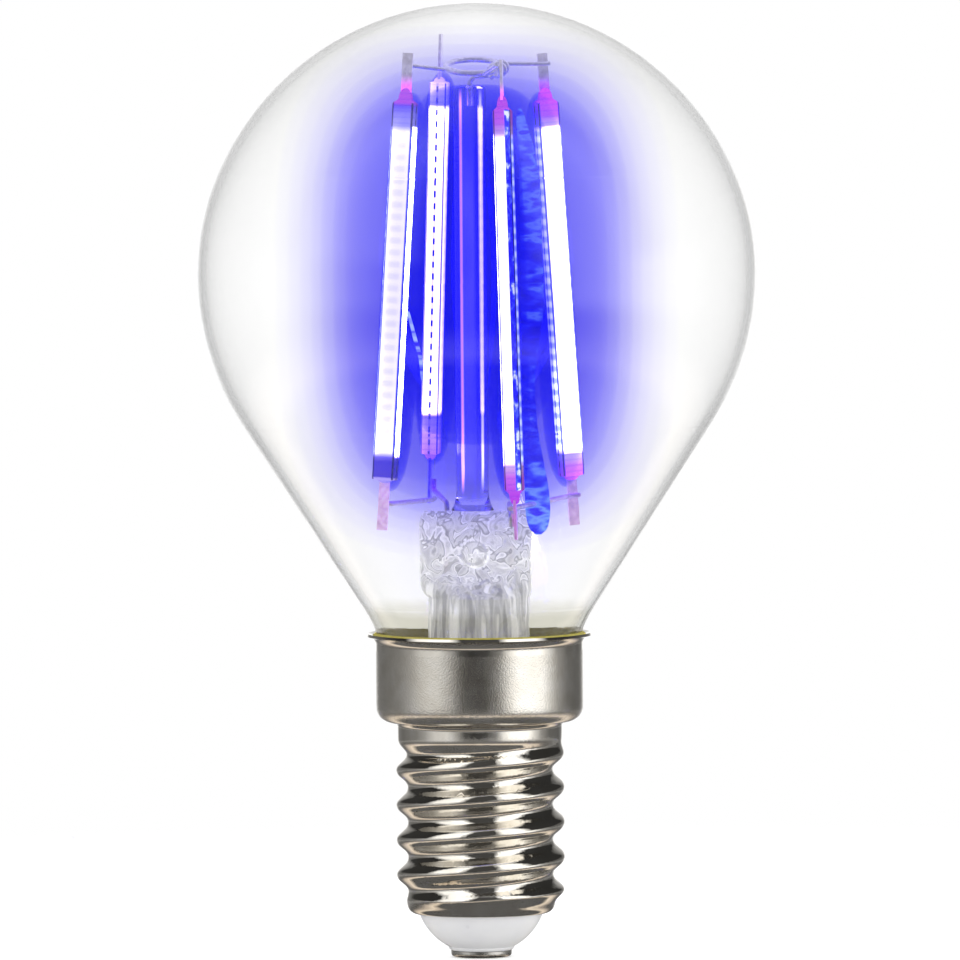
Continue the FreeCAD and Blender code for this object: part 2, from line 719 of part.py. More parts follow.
def kept_share(points):
    """How much of a wave a cubic spline surface keeps, where that many control points draw the wave."""
    return (2 + math.cos(2 * math.pi / points)) / 3


def cap_face(meridian, wall):
    """The sheet's face at a depth under its outer face, as one spline surface that closes round the cap."""
    swing = worth("(thread_crest_diameter-thread_root_diameter)/4") / kept_share(THREAD_STEPS)
    net = []
    for turn in range(AROUND):
        azimuth = 2 * math.pi * turn / AROUND
        line = []
        for radius, height, wave in meridian:
            crests = (height - worth("thread_first_crest")) / worth("thread_pitch")
            line.append((radius + swing * wave * knuckle(crests - turn / AROUND), height))
        column = []
        for index, (radius, height) in enumerate(line):
            before, after = line[max(index - 1, 0)], line[min(index + 1, len(line) - 1)]
            run = math.hypot(after[0] - before[0], after[1] - before[1])
            reach = (radius + wall * (after[1] - before[1]) / run) / kept_share(AROUND)
            level = height + wall * (before[0] - after[0]) / run
            column.append(Vector(reach * math.cos(azimuth), reach * math.sin(azimuth), level))
        net.append(column)
    spans = len(meridian) - 3
    surface = Part.BSplineSurface()
    around_knots, down_knots = range(AROUND + 1), range(spans + 1)
    around_counts, down_counts = [1] * (AROUND + 1), [4] + [1] * (spans - 1) + [4]
    surface.buildFromPolesMultsKnots(
        net, around_counts, down_counts, around_knots, down_knots, True, False, 3, 3
    )
    return surface.toShape()


def rim_edges(face):
    """The two round edges of a face, the upper one first."""
    rims = [edge for edge in face.Edges if edge.isClosed()]
    return sorted(rims, key=lambda edge: -edge.CenterOfMass.z)


meridian = cap_meridian()
faces = [cap_face(meridian, 0), cap_face(meridian, worth("sheet_wall"))]
for outer_rim, inner_rim in zip(rim_edges(faces[0]), rim_edges(faces[1])):
    faces.append(Part.makeRuledSurface(outer_rim, inner_rim))
sheet_metal = Part.Compound(faces)
sheet_metal.sewShape()
shell = doc.addObject("Part::Feature", "screw_shell")
shell.Shape = Part.Solid(sheet_metal.Shells[0])
keep(shell, "screw_shell")

# Insulator, gripped by the sheet's lower edge, with the centre contact through it
pin = "(contact_pin_diameter/2)"
waist = "(edge_opening/2-loose_gap)"
flange = "(edge_diameter/2-sheet_wall-loose_gap*3)"
shelf = "(edge_height-bond_gap)"
grip = "(edge_height+sheet_wall+bond_gap)"
tip = "(insulator_tip_diameter/2)"
seat = "(contact_thickness+bond_gap)"
keep(
    turned(
        "insulator",
        [
            (f"{pin}+bond_gap", seat),
            (f"{tip}-insulator_tip_round", seat),
            (tip, f"{seat}+insulator_tip_round", "insulator_tip_round", 1),
            ("insulator_top_diameter/2", shelf, "insulator_side_round", 1),
            (waist, shelf),
            (waist, grip),
            (f"{flange}-edge_bend/2", grip),
            (flange, "edge_height+insulator_flange_rise"),
            (flange, "insulator_inside_height"),
            (f"{pin}+bond_gap", "insulator_inside_height"),
        ],
    ),
    "insulator",
)
keep(
    turned(
        "centre_contact",
        [
            ("0", "0"),
            ("contact_diameter/2-contact_round", "0"),
            ("contact_diameter/2", "contact_round", "contact_round", 1),
            ("contact_diameter/2", "contact_thickness"),
            (pin, "contact_thickness"),
            (pin, "contact_pin_length"),
            ("0", "contact_pin_length"),
        ],
    ),
    "centre_contact",
)

# Cement, which fills the gap between neck and skirt and stands as a bead over the lip
cement_low = "(lip_height-cement_depth)"
cement_top = "(lip_height+cement_rise)"
skirt_bore = "(skirt_diameter/2-sheet_wall-bond_gap)"
lip_middle = "(skirt_diameter/2+lip_bend)"
lip_inside = "(lip_bend+sheet_wall+bond_gap)"
bead_reach = f"({neck}+neck_bend-sqrt((neck_bend-bond_gap)^2-({cement_top}-{bend_low})^2))"
keep(
    turned(
        "basing_cement",
        [
            (f"{neck}+bond_gap", cement_low),
            (skirt_bore, cement_low),
            (skirt_bore, "lip_height"),
            (
                f"{lip_middle}-{lip_inside}*cos(cement_lip_turn)",
                f"lip_height+{lip_inside}*sin(cement_lip_turn)",
                lip_inside,
                -1,
            ),
            (bead_reach, cement_top, "cement_rise-cement_bead_bulge", 1),
            (f"{neck}+bond_gap", bend_low, "neck_bend-bond_gap", 1),
        ],
    ),
    "basing_cement",
)

# Driver, on a board that stands behind the exhaust tube and the capacitor
board_back = "(board_offset+board_thickness)"
board_section = rectangle("board_width/2", board_back, "board_offset")
keep(bar("driver_board", board_section, "board_low_height", "board_height"), "driver_board")
for name in ("bridge", "regulator"):
    section = rectangle(f"{name}_width/2", f"{board_back}+{name}_thickness", f"{board_back}+bond_gap")
    label = {"bridge": "bridge_rectifier", "regulator": "current_regulator"}[name]
    keep(bar(label, section, f"{name}_low_height", f"{name}_height"), label)


def lying(name, corners, forwards, height):
    """A turned piece that lies along X."""
    body = turned(name, corners)
    bind(body, Placement=f"placement(vector(0; {forwards}; {height}); rotation(0; 90; 0))")
    return keep(body, name)


can = "(capacitor_diameter/2)"
lying(
    "smoothing_capacitor",
    [
        ("0", "-capacitor_length/2"),
        (can, "-capacitor_length/2"),
        (can, "capacitor_length/2-capacitor_groove_inset-capacitor_groove*2"),
        (f"{can}-capacitor_groove", "capacitor_length/2-capacitor_groove_inset-capacitor_groove"),
        (can, "capacitor_length/2-capacitor_groove_inset"),
        (can, "capacitor_length/2"),
        ("0", "capacitor_length/2"),
    ],
    f"board_offset-weld_gap-{can}",
    "capacitor_height",
)
cap_radius = "(resistor_diameter/2)"
lying(
    "fuse_resistor",
    [
        ("0", "-resistor_length/2"),
        (cap_radius, "-resistor_length/2"),
        (cap_radius, "resistor_cap_length-resistor_length/2"),
        (f"{cap_radius}-resistor_waist", "resistor_cap_length+resistor_waist-resistor_length/2"),
        (f"{cap_radius}-resistor_waist", "resistor_length/2-resistor_cap_length-resistor_waist"),
        (cap_radius, "resistor_length/2-resistor_cap_length"),
        (cap_radius, "resistor_length/2"),
        ("0", "resistor_length/2"),
    ],
    "-resistor_front",
    "resistor_height",
)

# Hook-up wires: contact to resistor, resistor to board, and board to the cap's collar
front = -worth("resistor_front")
level = worth("resistor_height")
end = worth("resistor_length/2+weld_gap")
wide = end + worth("wire_bend")
run = worth("hook_wire_run")
under = worth("contact_pin_length+hook_wire_diameter*1.5")
contact_path = [
    Vector(0, 0, worth("contact_pin_length+weld_gap")),
    Vector(0, 0, under),
    Vector(-wide / 2, -worth("contact_lead_reach"), under),
    Vector(-wide, front, level - run),
    Vector(-wide, front, level),
    Vector(-end, front, level),
]
wire_piece("contact_lead", contact_path, "hook_wire_diameter")
board_face = worth("board_offset-weld_gap")
resistor_path = [Vector(end, front, level), Vector(wide, front, level), Vector(wide, board_face, level)]
wire_piece("resistor_lead", resistor_path, "hook_wire_diameter")
collar_reach = worth("collar_diameter/2-sheet_wall-loose_gap*2")
collar_turn = math.radians(worth("cap_lead_azimuth"))
collar_level = worth("thread_top_height+wire_bend")
beside = worth("board_width/2-hook_wire_diameter")
before_board = worth("board_offset-hook_wire_diameter/2-weld_gap")
cap_path = [
    Vector(beside, before_board, worth("board_low_height+board_height") - run),
    Vector(beside, before_board, collar_level),
    Vector(collar_reach * math.cos(collar_turn), collar_reach * math.sin(collar_turn), collar_level),
]
wire_piece("cap_lead", cap_path, "hook_wire_diameter")

doc.recompute()
faults = [f"{thing.Label} {thing.State}" for thing in doc.Objects if {"Invalid", "Error"} & set(thing.State)]
faults += [piece.Label for piece in pieces if piece.Shape.isNull() or not piece.Shape.isValid()]
if faults:
    raise SystemExit("These objects failed: " + ", ".join(faults))
os.makedirs("parts", exist_ok=True)
for piece in pieces:
    piece.Shape.exportStep(f"parts/{piece.Label}.step")
    print(f"{piece.Label}: {len(piece.Shape.Solids)} solids, {piece.Shape.Volume:.2f} cubic mm")
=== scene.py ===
# %% [markdown]
# A small LED filament lamp, lit, with a screw cap. The solids come packed from the construction step, and
# this lesson gives them their looks: nickel plate, blown and pressed glass, cement and white plastic. It
# adds what a rigid solid can't show: the lit silicone of the four filaments, the blue glow round them, and
# two mirrored streaks. Everything is in metres and stands where the solids stand. Heights are counted from
# the centre contact.

import math

import bpy
import numpy as np
from mathutils import Matrix, Vector


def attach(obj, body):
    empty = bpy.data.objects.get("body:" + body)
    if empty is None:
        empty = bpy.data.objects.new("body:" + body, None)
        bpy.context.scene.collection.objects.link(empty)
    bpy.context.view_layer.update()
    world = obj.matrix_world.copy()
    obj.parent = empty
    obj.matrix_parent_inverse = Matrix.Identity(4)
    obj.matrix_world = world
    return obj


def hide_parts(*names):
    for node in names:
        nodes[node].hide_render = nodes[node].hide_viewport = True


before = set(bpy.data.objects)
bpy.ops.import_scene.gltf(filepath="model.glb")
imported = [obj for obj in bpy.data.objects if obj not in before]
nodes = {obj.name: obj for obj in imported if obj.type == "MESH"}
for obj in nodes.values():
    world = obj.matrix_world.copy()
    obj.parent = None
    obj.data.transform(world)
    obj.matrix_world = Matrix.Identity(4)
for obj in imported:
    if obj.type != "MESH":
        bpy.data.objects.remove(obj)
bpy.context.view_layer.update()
MM = 0.001

# %% [markdown]
# Colours are picked as sRGB hex, the way a colour chart gives them, but the renderer mixes light in linear
# values. One function turns the first into the second, so every colour below can be read off a chart.


# %% Colours
def linear(chart):
    """sRGB hex to linear RGBA: each channel is ((c + 0.055) / 1.055) to the power 2.4, or c / 12.92 where it
    is nearly black."""
    channels = np.array([int(chart[i : i + 2], 16) for i in (1, 3, 5)]) / 255
    bright = np.where(channels <= 0.04045, channels / 12.92, ((channels + 0.055) / 1.055) ** 2.4)
    return (*bright.tolist(), 1.0)


print("mid grey in linear light:", [round(c, 3) for c in linear("#808080")])

# %% [markdown]
# A material is a small tree of nodes. One function adds a node, sets what is set and links what is linked,
# so each finish below reads as a short list of what it is made of.


# %% Adding a node
def add(tree, kind, link=None, **settings):
    """Adds a node. A setting that starts with s_ is the node's own, i1 fills the socket of that number, and
    any other setting names a socket. Link maps a socket's name or number to the output that feeds it."""
    node = tree.nodes.new(kind)
    for key, value in settings.items():
        if key.startswith("s_"):
            setattr(node, key[2:], value)
    for key, value in settings.items():
        if not key.startswith("s_"):
            socket = int(key[1:]) if key[0] == "i" and key[1:].isdigit() else key.replace("_", " ")
            node.inputs[socket].default_value = value
    for key, source in (link or {}).items():
        tree.links.new(source, node.inputs[key])
    return node


def finish_of(name):
    """A new, empty material and its node tree."""
    material = bpy.data.materials.new(name)
    material.use_nodes = True
    material.node_tree.nodes.clear()
    return material, material.node_tree


def places(tree, millimetres=(1.0, 1.0, 1.0)):
    """Object coordinates counted in patterns of the given size in millimetres."""
    spot = add(tree, "ShaderNodeTexCoord").outputs["Object"]
    scale = tuple(1 / (MM * size) for size in millimetres)
    return add(tree, "ShaderNodeMapping", {"Vector": spot}, Scale=scale).outputs["Vector"]


def height_of(tree):
    """The height above the centre contact in millimetres."""
    return add(tree, "ShaderNodeSeparateXYZ", {"Vector": places(tree)}).outputs["Z"]


def ramp(tree, value, stops):
    """A colour ramp through (place, hex) stops."""
    node = add(tree, "ShaderNodeValToRGB", {"Fac": value})
    elements = node.color_ramp.elements
    while len(elements) < len(stops):
        elements.new(0.5)
    for element, (place, chart) in zip(elements, stops):
        element.position = place
        element.color = linear(chart)
    return node.outputs["Color"]


def span(tree, value, low, high, to_low=0.0, to_high=1.0):
    """A value carried from low..high to to_low..to_high, held at both ends."""
    node = add(tree, "ShaderNodeMapRange", {"Value": value}, s_interpolation_type="SMOOTHSTEP")
    for socket, number in zip(("From Min", "From Max", "To Min", "To Max"), (low, high, to_low, to_high)):
        node.inputs[socket].default_value = number
    return node.outputs["Result"]


def grain(tree, millimetres, detail=3.0, stretch=(1.0, 1.0, 1.0)):
    """Noise whose patches are that many millimetres wide, stretched along the axes."""
    spots = places(tree, tuple(millimetres * part for part in stretch))
    return add(tree, "ShaderNodeTexNoise", {"Vector": spots}, Scale=1.0, Detail=detail).outputs["Fac"]


def maths(tree, operation, first, second=0.0):
    """One operation on two values, each a number or an output. Some operations take only the first."""
    node = add(tree, "ShaderNodeMath", s_operation=operation)
    for socket, part in zip(node.inputs, (first, second)):
        if isinstance(part, (int, float)):
            socket.default_value = part
        else:
            tree.links.new(part, socket)
    return node.outputs[0]


def blend_colours(tree, factor, first, second):
    """One colour over another by a factor. Each is an output or a hex."""
    node = add(tree, "ShaderNodeMix", {"Factor": factor}, s_data_type="RGBA")
    for socket, part in ((node.inputs[6], first), (node.inputs[7], second)):
        if isinstance(part, str):
            socket.default_value = linear(part)
        else:
            tree.links.new(part, socket)
    return node.outputs[2]


def bump(tree, height, millimetres):
    """A normal that is tilted by a height map of that depth."""
    node = add(tree, "ShaderNodeBump", {"Height": height}, Distance=millimetres * MM, Strength=1.0)
    return node.outputs["Normal"]


def surface(tree, link, **settings):
    """A Principled surface on the material's output."""
    shader = add(tree, "ShaderNodeBsdfPrincipled", link, **settings)
    add(tree, "ShaderNodeOutputMaterial", {"Surface": shader.outputs[0]})


print("helpers ready")

# %% [markdown]
# The metals. The cap is thin sheet, drawn and then nickel plated: the skirt keeps a fine satin grain from
# the drawing die, and the rolled thread is burnished by the rollers, so it is glossier and mirrors the room
# in bands. Metallic is 1 and the colour is what the metal mirrors: nickel is a little warm.


# %% Nickel plate of the cap
SKIRT_FOOT, SKIRT_LIP = (18.8, 19.8), (24.6, 25.0)


def nickel_plate():
    """Drawn sheet, nickel plated: warm white mirror, satin on the skirt and burnished on the thread."""
    material, tree = finish_of("drawn_nickel_plate")
    height = height_of(tree)
    plain = maths(tree, "MULTIPLY", span(tree, height, *SKIRT_FOOT), span(tree, height, *SKIRT_LIP, 1.0, 0.0))
    specks = grain(tree, 0.13, 2.0)
    clouds = grain(tree, 1.8)
    tone = ramp(tree, clouds, [(0.3, "#e3ddd2"), (0.5, "#e9e4da"), (0.75, "#f3efe8")])
    mixed = maths(tree, "ADD", maths(tree, "MULTIPLY", clouds, 0.06), maths(tree, "MULTIPLY", specks, 0.09))
    rough = maths(tree, "ADD", mixed, span(tree, plain, 0.0, 1.0, -0.02, 0.12))
    relief = maths(tree, "MULTIPLY", specks, span(tree, plain, 0.0, 1.0, 0.1, 1.0))
    link = {"Base Color": tone, "Roughness": rough, "Normal": bump(tree, relief, 0.0135)}
    surface(tree, link, Metallic=1.0)
    return material


def plain_metal(name, low, high, patch, rough, relief, light=0.0):
    """A metal of two tones in patches of some tenths of a millimetre, with a fine drawn or cast surface. The
    light is the pale violet that bare wire picks up beside the filaments."""
    material, tree = finish_of(name)
    patches = grain(tree, patch)
    tone = ramp(tree, patches, [(0.3, low), (0.7, high)])
    roughness = span(tree, patches, 0.2, 0.8, rough * 0.7, rough * 1.3)
    link = {"Base Color": tone, "Roughness": roughness, "Normal": bump(tree, patches, relief)}
    surface(tree, link, Metallic=1.0, Emission_Color=linear("#a8a8dc"), Emission_Strength=light)
    return material


plate = nickel_plate()
# Drawn nickel wire: bright, with faint die lines and a faint painted pale violet glow.
nickel_wire = plain_metal("drawn_nickel_wire", "#c4c1bd", "#eceae6", 0.3, 0.22, 0.01, 0.45)
# Copper and tinned copper of the hidden wires: one warm and slightly dull, one pale and smooth.
copper_wire = plain_metal("drawn_copper_wire", "#b8734d", "#d9936b", 0.5, 0.3, 0.01)
tinned_wire = plain_metal("tinned_copper_wire", "#b9babb", "#dcdcd9", 0.5, 0.3, 0.01)
# The centre contact is a stamped disc with a solder skin: smooth hills that flowed and froze.
contact_metal = plain_metal("soldered_contact", "#b8b5af", "#e4e1db", 1.1, 0.24, 0.05)
print("metals:", [m.name for m in bpy.data.materials if m.name.endswith(("wire", "plate", "contact"))])

# %% [markdown]
# The glass. Blown soda glass has an index of 1.52 and a faint green that only shows along the edge, where
# the eye looks through ten millimetres of it. So the colour is left to volume absorption and the surface is
# clear, with long, very shallow waves from blowing. Where the neck was fused to the stem it is a little
# smoky. The stem is the same glass, squeezed between jaws while soft. Its folds, the rim of its exhaust hole
# and, below them, long drawn streaks scatter the light, so it reads as cloudy. Clear lumps alone would bend
# the white room away and look dark, so the pattern is partly the cloudy glass's own tone and partly painted
# light: pale flecks and bright rims are painted highlights, dark lines painted shade, and a part of the
# pattern is given off as light.


# %% Blown and pressed glass
FUSED_NECK = (27.2, 29.2)


def clear_glass(name, waves, width, tint, density):
    """Clear soda glass with waves of the given depth and width in millimetres, and a smoky, fused neck."""
    material, tree = finish_of(name)
    height = height_of(tree)
    clouds = maths(tree, "MULTIPLY", grain(tree, 2.2), 0.4)
    smoke = maths(tree, "ADD", span(tree, height, *FUSED_NECK[::-1]), clouds)
    tone = ramp(tree, smoke, [(0.4, "#ffffff"), (1.0, "#e9e8e0")])
    link = {"Base Color": tone, "Normal": bump(tree, grain(tree, width, 1.0), waves)}
    shader = add(tree, "ShaderNodeBsdfPrincipled", link, Roughness=0.0, IOR=1.52, Transmission_Weight=1.0)
    inside = add(tree, "ShaderNodeVolumeAbsorption", Color=linear(tint), Density=density)
    add(tree, "ShaderNodeOutputMaterial", {"Surface": shader.outputs[0], "Volume": inside.outputs[0]})
    return material


# Pale flecks and bright fold rims here are painted highlights, and the dark lines are painted shade.
FOLD_SHINE_AND_SHADE = [
    (0.30, "#b8b8bc"),
    (0.38, "#e6e6e8"),
    (0.45, "#cfcfd2"),
    (0.51, "#ffffff"),
    (0.55, "#96969c"),
    (0.60, "#dededf"),
    (0.72, "#c2c2c6"),
]
# Light and dark bands of the drawn streaks: painted light and shade.
STREAK_SHINE_AND_SHADE = [(0.36, "#a0a0a2"), (0.46, "#d0d0d0"), (0.54, "#b8b8ba"), (0.64, "#f4f4f4")]
PRESS_FOOT = (30.0, 31.0)
EXHAUST_HOLE = (-0.36, 32.75, 1.2)


def streaked(tree, tone):
    """The tone with long drawn streaks, in painted light and shade, in its place below the foot of the press.
    """
    streaks = ramp(tree, grain(tree, 0.8, 2.0, (1.0, 1.0, 8.0)), STREAK_SHINE_AND_SHADE)
    return blend_colours(tree, span(tree, height_of(tree), *PRESS_FOOT[::-1]), tone, streaks)


def rim_glint_and_shade(tree, tone, hole):
    """The tone with the rim of a blown hole: a bright, uneven ring of painted highlight and a dark ring of
    painted shade inside it. The hole is its place sideways, its height and its radius in millimetres, and it
    runs from front to back. A place is off the ring by the root of the sum of its two squared distances from
    the middle, less the radius."""
    sideways, height, radius = hole
    flat = add(tree, "ShaderNodeVectorMath", {0: places(tree)}, s_operation="MULTIPLY", i1=(1.0, 0.0, 1.0))
    middle = (sideways, 0.0, height)
    apart = add(tree, "ShaderNodeVectorMath", {0: flat.outputs[0]}, s_operation="DISTANCE", i1=middle)
    off = maths(tree, "SUBTRACT", apart.outputs["Value"], radius)
    inner = maths(tree, "ABSOLUTE", maths(tree, "ADD", off, 0.25))
    # Painted shade: the dark ring just inside the rim.
    tone = blend_colours(tree, span(tree, inner, 0.05, 0.16, 0.6, 0.0), tone, "#a8a8b0")
    # Painted highlight: the bright, uneven ring on the rim.
    uneven = span(tree, grain(tree, 0.8, 1.0), 0.35, 0.6, 0.1, 0.75)
    bright = maths(tree, "MULTIPLY", span(tree, maths(tree, "ABSOLUTE", off), 0.04, 0.16, 1.0, 0.0), uneven)
    return blend_colours(tree, bright, tone, "#ffffff")


def worked_glass(name, lump, stretch, clear, light, hole=None):
    """Glass that was worked while soft: lumps and folds with painted highlights on their rims and painted
    shade between, and, where it has a blown hole, the hole's rim and the streaks below. A part of this
    painted tone is given off as light."""
    material, tree = finish_of(name)
    spots = places(tree, tuple(lump * part for part in stretch))
    noise = add(tree, "ShaderNodeTexNoise", {"Vector": spots}, Scale=1.0, Detail=1.5, Distortion=1.2)
    folds = noise.outputs["Fac"]
    tone = ramp(tree, folds, FOLD_SHINE_AND_SHADE)
    if hole:
        tone = rim_glint_and_shade(tree, streaked(tree, tone), hole)
    link = {"Base Color": tone, "Emission Color": tone, "Normal": bump(tree, folds, 0.22)}
    settings = {"Roughness": 0.05, "IOR": 1.52, "Transmission_Weight": clear, "Emission_Strength": light}
    shader = add(tree, "ShaderNodeBsdfPrincipled", link, **settings)
    inside = add(tree, "ShaderNodeVolumeAbsorption", Color=linear("#c8c8ca"), Density=8.0)
    add(tree, "ShaderNodeOutputMaterial", {"Surface": shader.outputs[0], "Volume": inside.outputs[0]})
    return material


blown_glass = clear_glass("blown_soda_glass", 0.008, 9.0, "#7f857c", 45.0)
pressed_glass = worked_glass("pressed_soda_glass", 1.4, (1.0, 1.0, 1.0), 0.3, 0.42, EXHAUST_HOLE)
tube_glass = worked_glass("exhaust_glass", 1.2, (1.0, 1.0, 6.0), 0.6, 0.2)
print("glass ready")

# %% [markdown]
# Cement, insulator and the hidden parts of the driver. The cement is a baked resin with marble flour, rough
# and olive yellow. The insulator is pressed white plastic, smooth and a little glossy. The driver can't be
# seen from outside, but each of its parts still has the finish that it has in a real cap.


# %% Dull materials
def dull(name, low, high, patch, rough, relief):
    """A non-metal of two tones in patches of so many millimetres, with a relief of the same patches."""
    material, tree = finish_of(name)
    patches = grain(tree, patch)
    tone = ramp(tree, patches, [(0.3, low), (0.7, high)])
    roughness = span(tree, patches, 0.2, 0.8, rough * 0.85, rough * 1.15)
    link = {"Base Color": tone, "Roughness": roughness, "Normal": bump(tree, patches, relief)}
    surface(tree, link)
    return material


cement = dull("baked_capping_cement", "#cfc04a", "#e6dc70", 0.5, 0.75, 0.04)
insulator = dull("pressed_white_insulator", "#f2f2f4", "#fafafa", 2.5, 0.3, 0.01)
board = dull("glass_fibre_board", "#2f6b45", "#3c7d53", 0.4, 0.45, 0.01)
package = dull("moulded_black_epoxy", "#1d1d1f", "#2b2b2e", 0.3, 0.55, 0.01)
sleeve = dull("capacitor_sleeve", "#22262e", "#30353f", 0.8, 0.4, 0.01)
lacquer = dull("resistor_lacquer", "#7d9a6a", "#93ae7e", 0.6, 0.4, 0.02)
print("dull materials ready")

# %% [markdown]
# The filament inside its silicone: a thin metal strip with a row of 28 blue chips. They are lit, so they
# shine. A lit chip is so bright that it reads as white with a blue rim. Emission of several times white
# keeps it white through the blue glow that lies in front of it.


# %% Strip and chips
def shining(name, chart, strength):
    """A lit surface: the colour that it throws, and how many times as bright as white paper."""
    material, tree = finish_of(name)
    patches = grain(tree, 0.4)
    tone = ramp(tree, patches, [(0.3, chart), (0.7, "#ffffff")])
    surface(tree, {"Base Color": tone, "Emission Color": tone}, Roughness=0.4, Emission_Strength=strength)
    return material


lit_chip = shining("lit_blue_chip", "#e4e8ff", 6.0)
lit_strip = shining("lit_carrier_strip", "#c9d2ff", 4.0)
SLOTS = {
    "envelope_glass": blown_glass,
    "stem_glass": pressed_glass,
    "filament_strip": lit_strip,
    "led_chips": lit_chip,
    "nickel_wire": nickel_wire,
    "copper_wire": copper_wire,
    "tinned_wire": tinned_wire,
    "nickel_cap": plate,
    "white_insulator": insulator,
    "contact_metal": contact_metal,
    "cement": cement,
    "circuit_board": board,
    "black_package": package,
    "capacitor_sleeve": sleeve,
    "resistor_lacquer": lacquer,
}
for label, node in nodes.items():
    for slot in node.material_slots:
        wanted = slot.material.name.split(".")[0] if slot.material else ""
        if wanted in SLOTS:
            slot.material = SLOTS[wanted]
nodes["exhaust_tube"].material_slots[0].material = tube_glass
print("slots dressed:", len(SLOTS))


# %% [markdown]
# New pieces. Each is one smooth, closed surface. Its points are a grid, worked out by a formula, and become
# one mesh that rides on the lamp as the solids do.


# %% Grids and surfaces
def capped_mesh(name, grid):
    """A mesh from a grid of points (rows, columns, 3), joined round its columns, with a fan to one middle
    point at each end, so that the surface is closed."""
    rows, columns = grid.shape[:2]
    middles = grid[[0, -1]].mean(axis=1)
    index = np.arange(rows * columns).reshape(rows, columns)
    right = np.roll(index, -1, axis=1)
    quads = np.stack([index[:-1], right[:-1], right[1:], index[1:]], axis=-1).reshape(-1, 4)
    low = np.stack([right[0], index[0], np.full(columns, rows * columns)], axis=-1)
    high = np.stack([index[-1], right[-1], np.full(columns, rows * columns + 1)], axis=-1)
    points = np.concatenate([grid.reshape(-1, 3), middles])
    mesh = bpy.data.meshes.new(name)
    mesh.from_pydata(points.tolist(), [], quads.tolist() + low.tolist() + high.tolist())
    mesh.polygons.foreach_set("use_smooth", np.ones(len(mesh.polygons), bool))
    return mesh


def add_piece(name, mesh, material):
    """Puts a mesh into the scene as a piece of the lamp."""
    mesh.materials.append(material)
    piece = bpy.data.objects.new(name, mesh)
    bpy.context.scene.collection.objects.link(piece)
    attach(piece, "root")
    return piece


print("surface helpers ready")

# %% [markdown]
# The silicone round each filament. It is a bar of rounded square section with a short nose at each end,
# leaning in towards the top. It is worked out in the filament's own directions: across, outwards and along,
# and the same three numbers are kept on its points, so that the pattern of light follows the bar however it
# stands.

# %% Where each filament stands
# Azimuth in degrees, counted from +X towards +Y, and height of the middle in mm.
FILAMENTS = {
    "front_left": (204.6, 53.9),
    "back_left": (117.9, 55.5),
    "front_right": (290.7, 53.3),
    "back_right": (22.6, 53.8),
}
TOP_RADIUS, LOW_RADIUS, COAT_LENGTH = 6.15, 8.2, 30.0
LEAN = math.asin((LOW_RADIUS - TOP_RADIUS) / COAT_LENGTH)
MIDDLE = (TOP_RADIUS + LOW_RADIUS) / 2


def stand(side, local, inwards=0.0, twist=0.0):
    """Local (across, outwards, along) points in mm to metres in the frame: twisted about the filament's own
    line, leaned in, turned to the filament's azimuth and moved out to its circle."""
    azimuth, height = FILAMENTS[side]
    turn = Matrix.Rotation(math.radians(azimuth - 90), 3, "Z") @ Matrix.Rotation(LEAN, 3, "X")
    turn = turn @ Matrix.Rotation(math.radians(twist), 3, "Z")
    angle = math.radians(azimuth)
    reach = MIDDLE - inwards
    middle = np.array([reach * math.cos(angle), reach * math.sin(angle), height])
    return (local @ np.array(turn).T + middle) * MM


def rounded_square(count, power):
    """A superellipse of half-width 1: each of cos and sin to the power 2 / power, with its sign kept."""
    turn = np.linspace(0, 2 * np.pi, count, endpoint=False)
    c, s = np.cos(turn), np.sin(turn)
    return np.sign(c) * np.abs(c) ** (2 / power), np.sign(s) * np.abs(s) ** (2 / power)


# The section is width and depth in mm, and the twist is in degrees. The noses are the lengths past the cast
# body, and dark_end is how much longer the lower end is without chips, both in mm. The power is the strength
# of red and green and the strength of blue, first of the faces that the photograph shows and then of the
# others, and last the strength of the ends. The strip is the share of light on the narrow faces, where it
# isn't 0.
COATS = {
    "front_left": {
        "section": (1.9, 1.55),
        "twist": 47.4,
        "noses": (0.3, 1.3),
        "power": ((3.3, 3.3), (200.0, 22.0), 1.1),
        "faces": (("Y", 1),),
        "strip": 0.8,
    },
    "back_left": {
        "section": (1.85, 1.5),
        "twist": 52.0,
        "noses": (0.6, 0.5),
        "dark_end": 1.1,
        "power": ((330.0, 7.0), (6.0, 6.0), 11.0),
        "faces": (("X", -1), ("Y", -1)),
        "strip": 0.0,
    },
    "front_right": {
        "section": (1.85, 1.5),
        "twist": 63.3,
        "noses": (1.3, 1.3),
        "power": ((3.6, 3.6), (200.0, 22.0), 1.0),
        "faces": (("X", 1), ("Y", 1)),
        "strip": 0.55,
    },
    "back_right": {
        "section": (1.95, 1.6),
        "twist": 87.4,
        "noses": (0.45, 1.3),
        "power": ((60.0, 7.0), (6.0, 6.0), 3.2),
        "faces": (("X", -1), ("Y", -1)),
        "strip": 0.4,
    },
}


def coat_points(width, depth, noses, count=64):
    """The coat in its own directions: a rounded square section, carried along. Past the cast body it steps
    in to a nose, by a share that rises with the smooth step 3 u^2 - 2 u^3, and the nose thins to a round
    tip. The noses are the lengths of the lower and the upper one."""
    body = np.linspace(-COAT_LENGTH / 2, COAT_LENGTH / 2, 121)
    nose = np.linspace(0, 1, 24)[1:]
    below, above = (COAT_LENGTH / 2 + length * nose for length in noses)
    along = np.concatenate([-below[::-1], body, above])
    over = np.concatenate([nose[::-1], np.zeros(len(body)), nose])
    step = np.clip(over / 0.35, 0, 1)
    size = (1 - 0.42 * (3 * step**2 - 2 * step**3)) * (1 - 0.3 * over**2) * np.sqrt(1 - 0.92 * over**6)
    x, y = rounded_square(count, 5.0)
    across = width / 2 * np.outer(size, x)
    outwards = depth / 2 * np.outer(size, y)
    return np.stack([across, outwards, np.broadcast_to(along[:, None], across.shape)], axis=-1)


print("lean of the filaments:", round(math.degrees(LEAN), 2), "degrees")
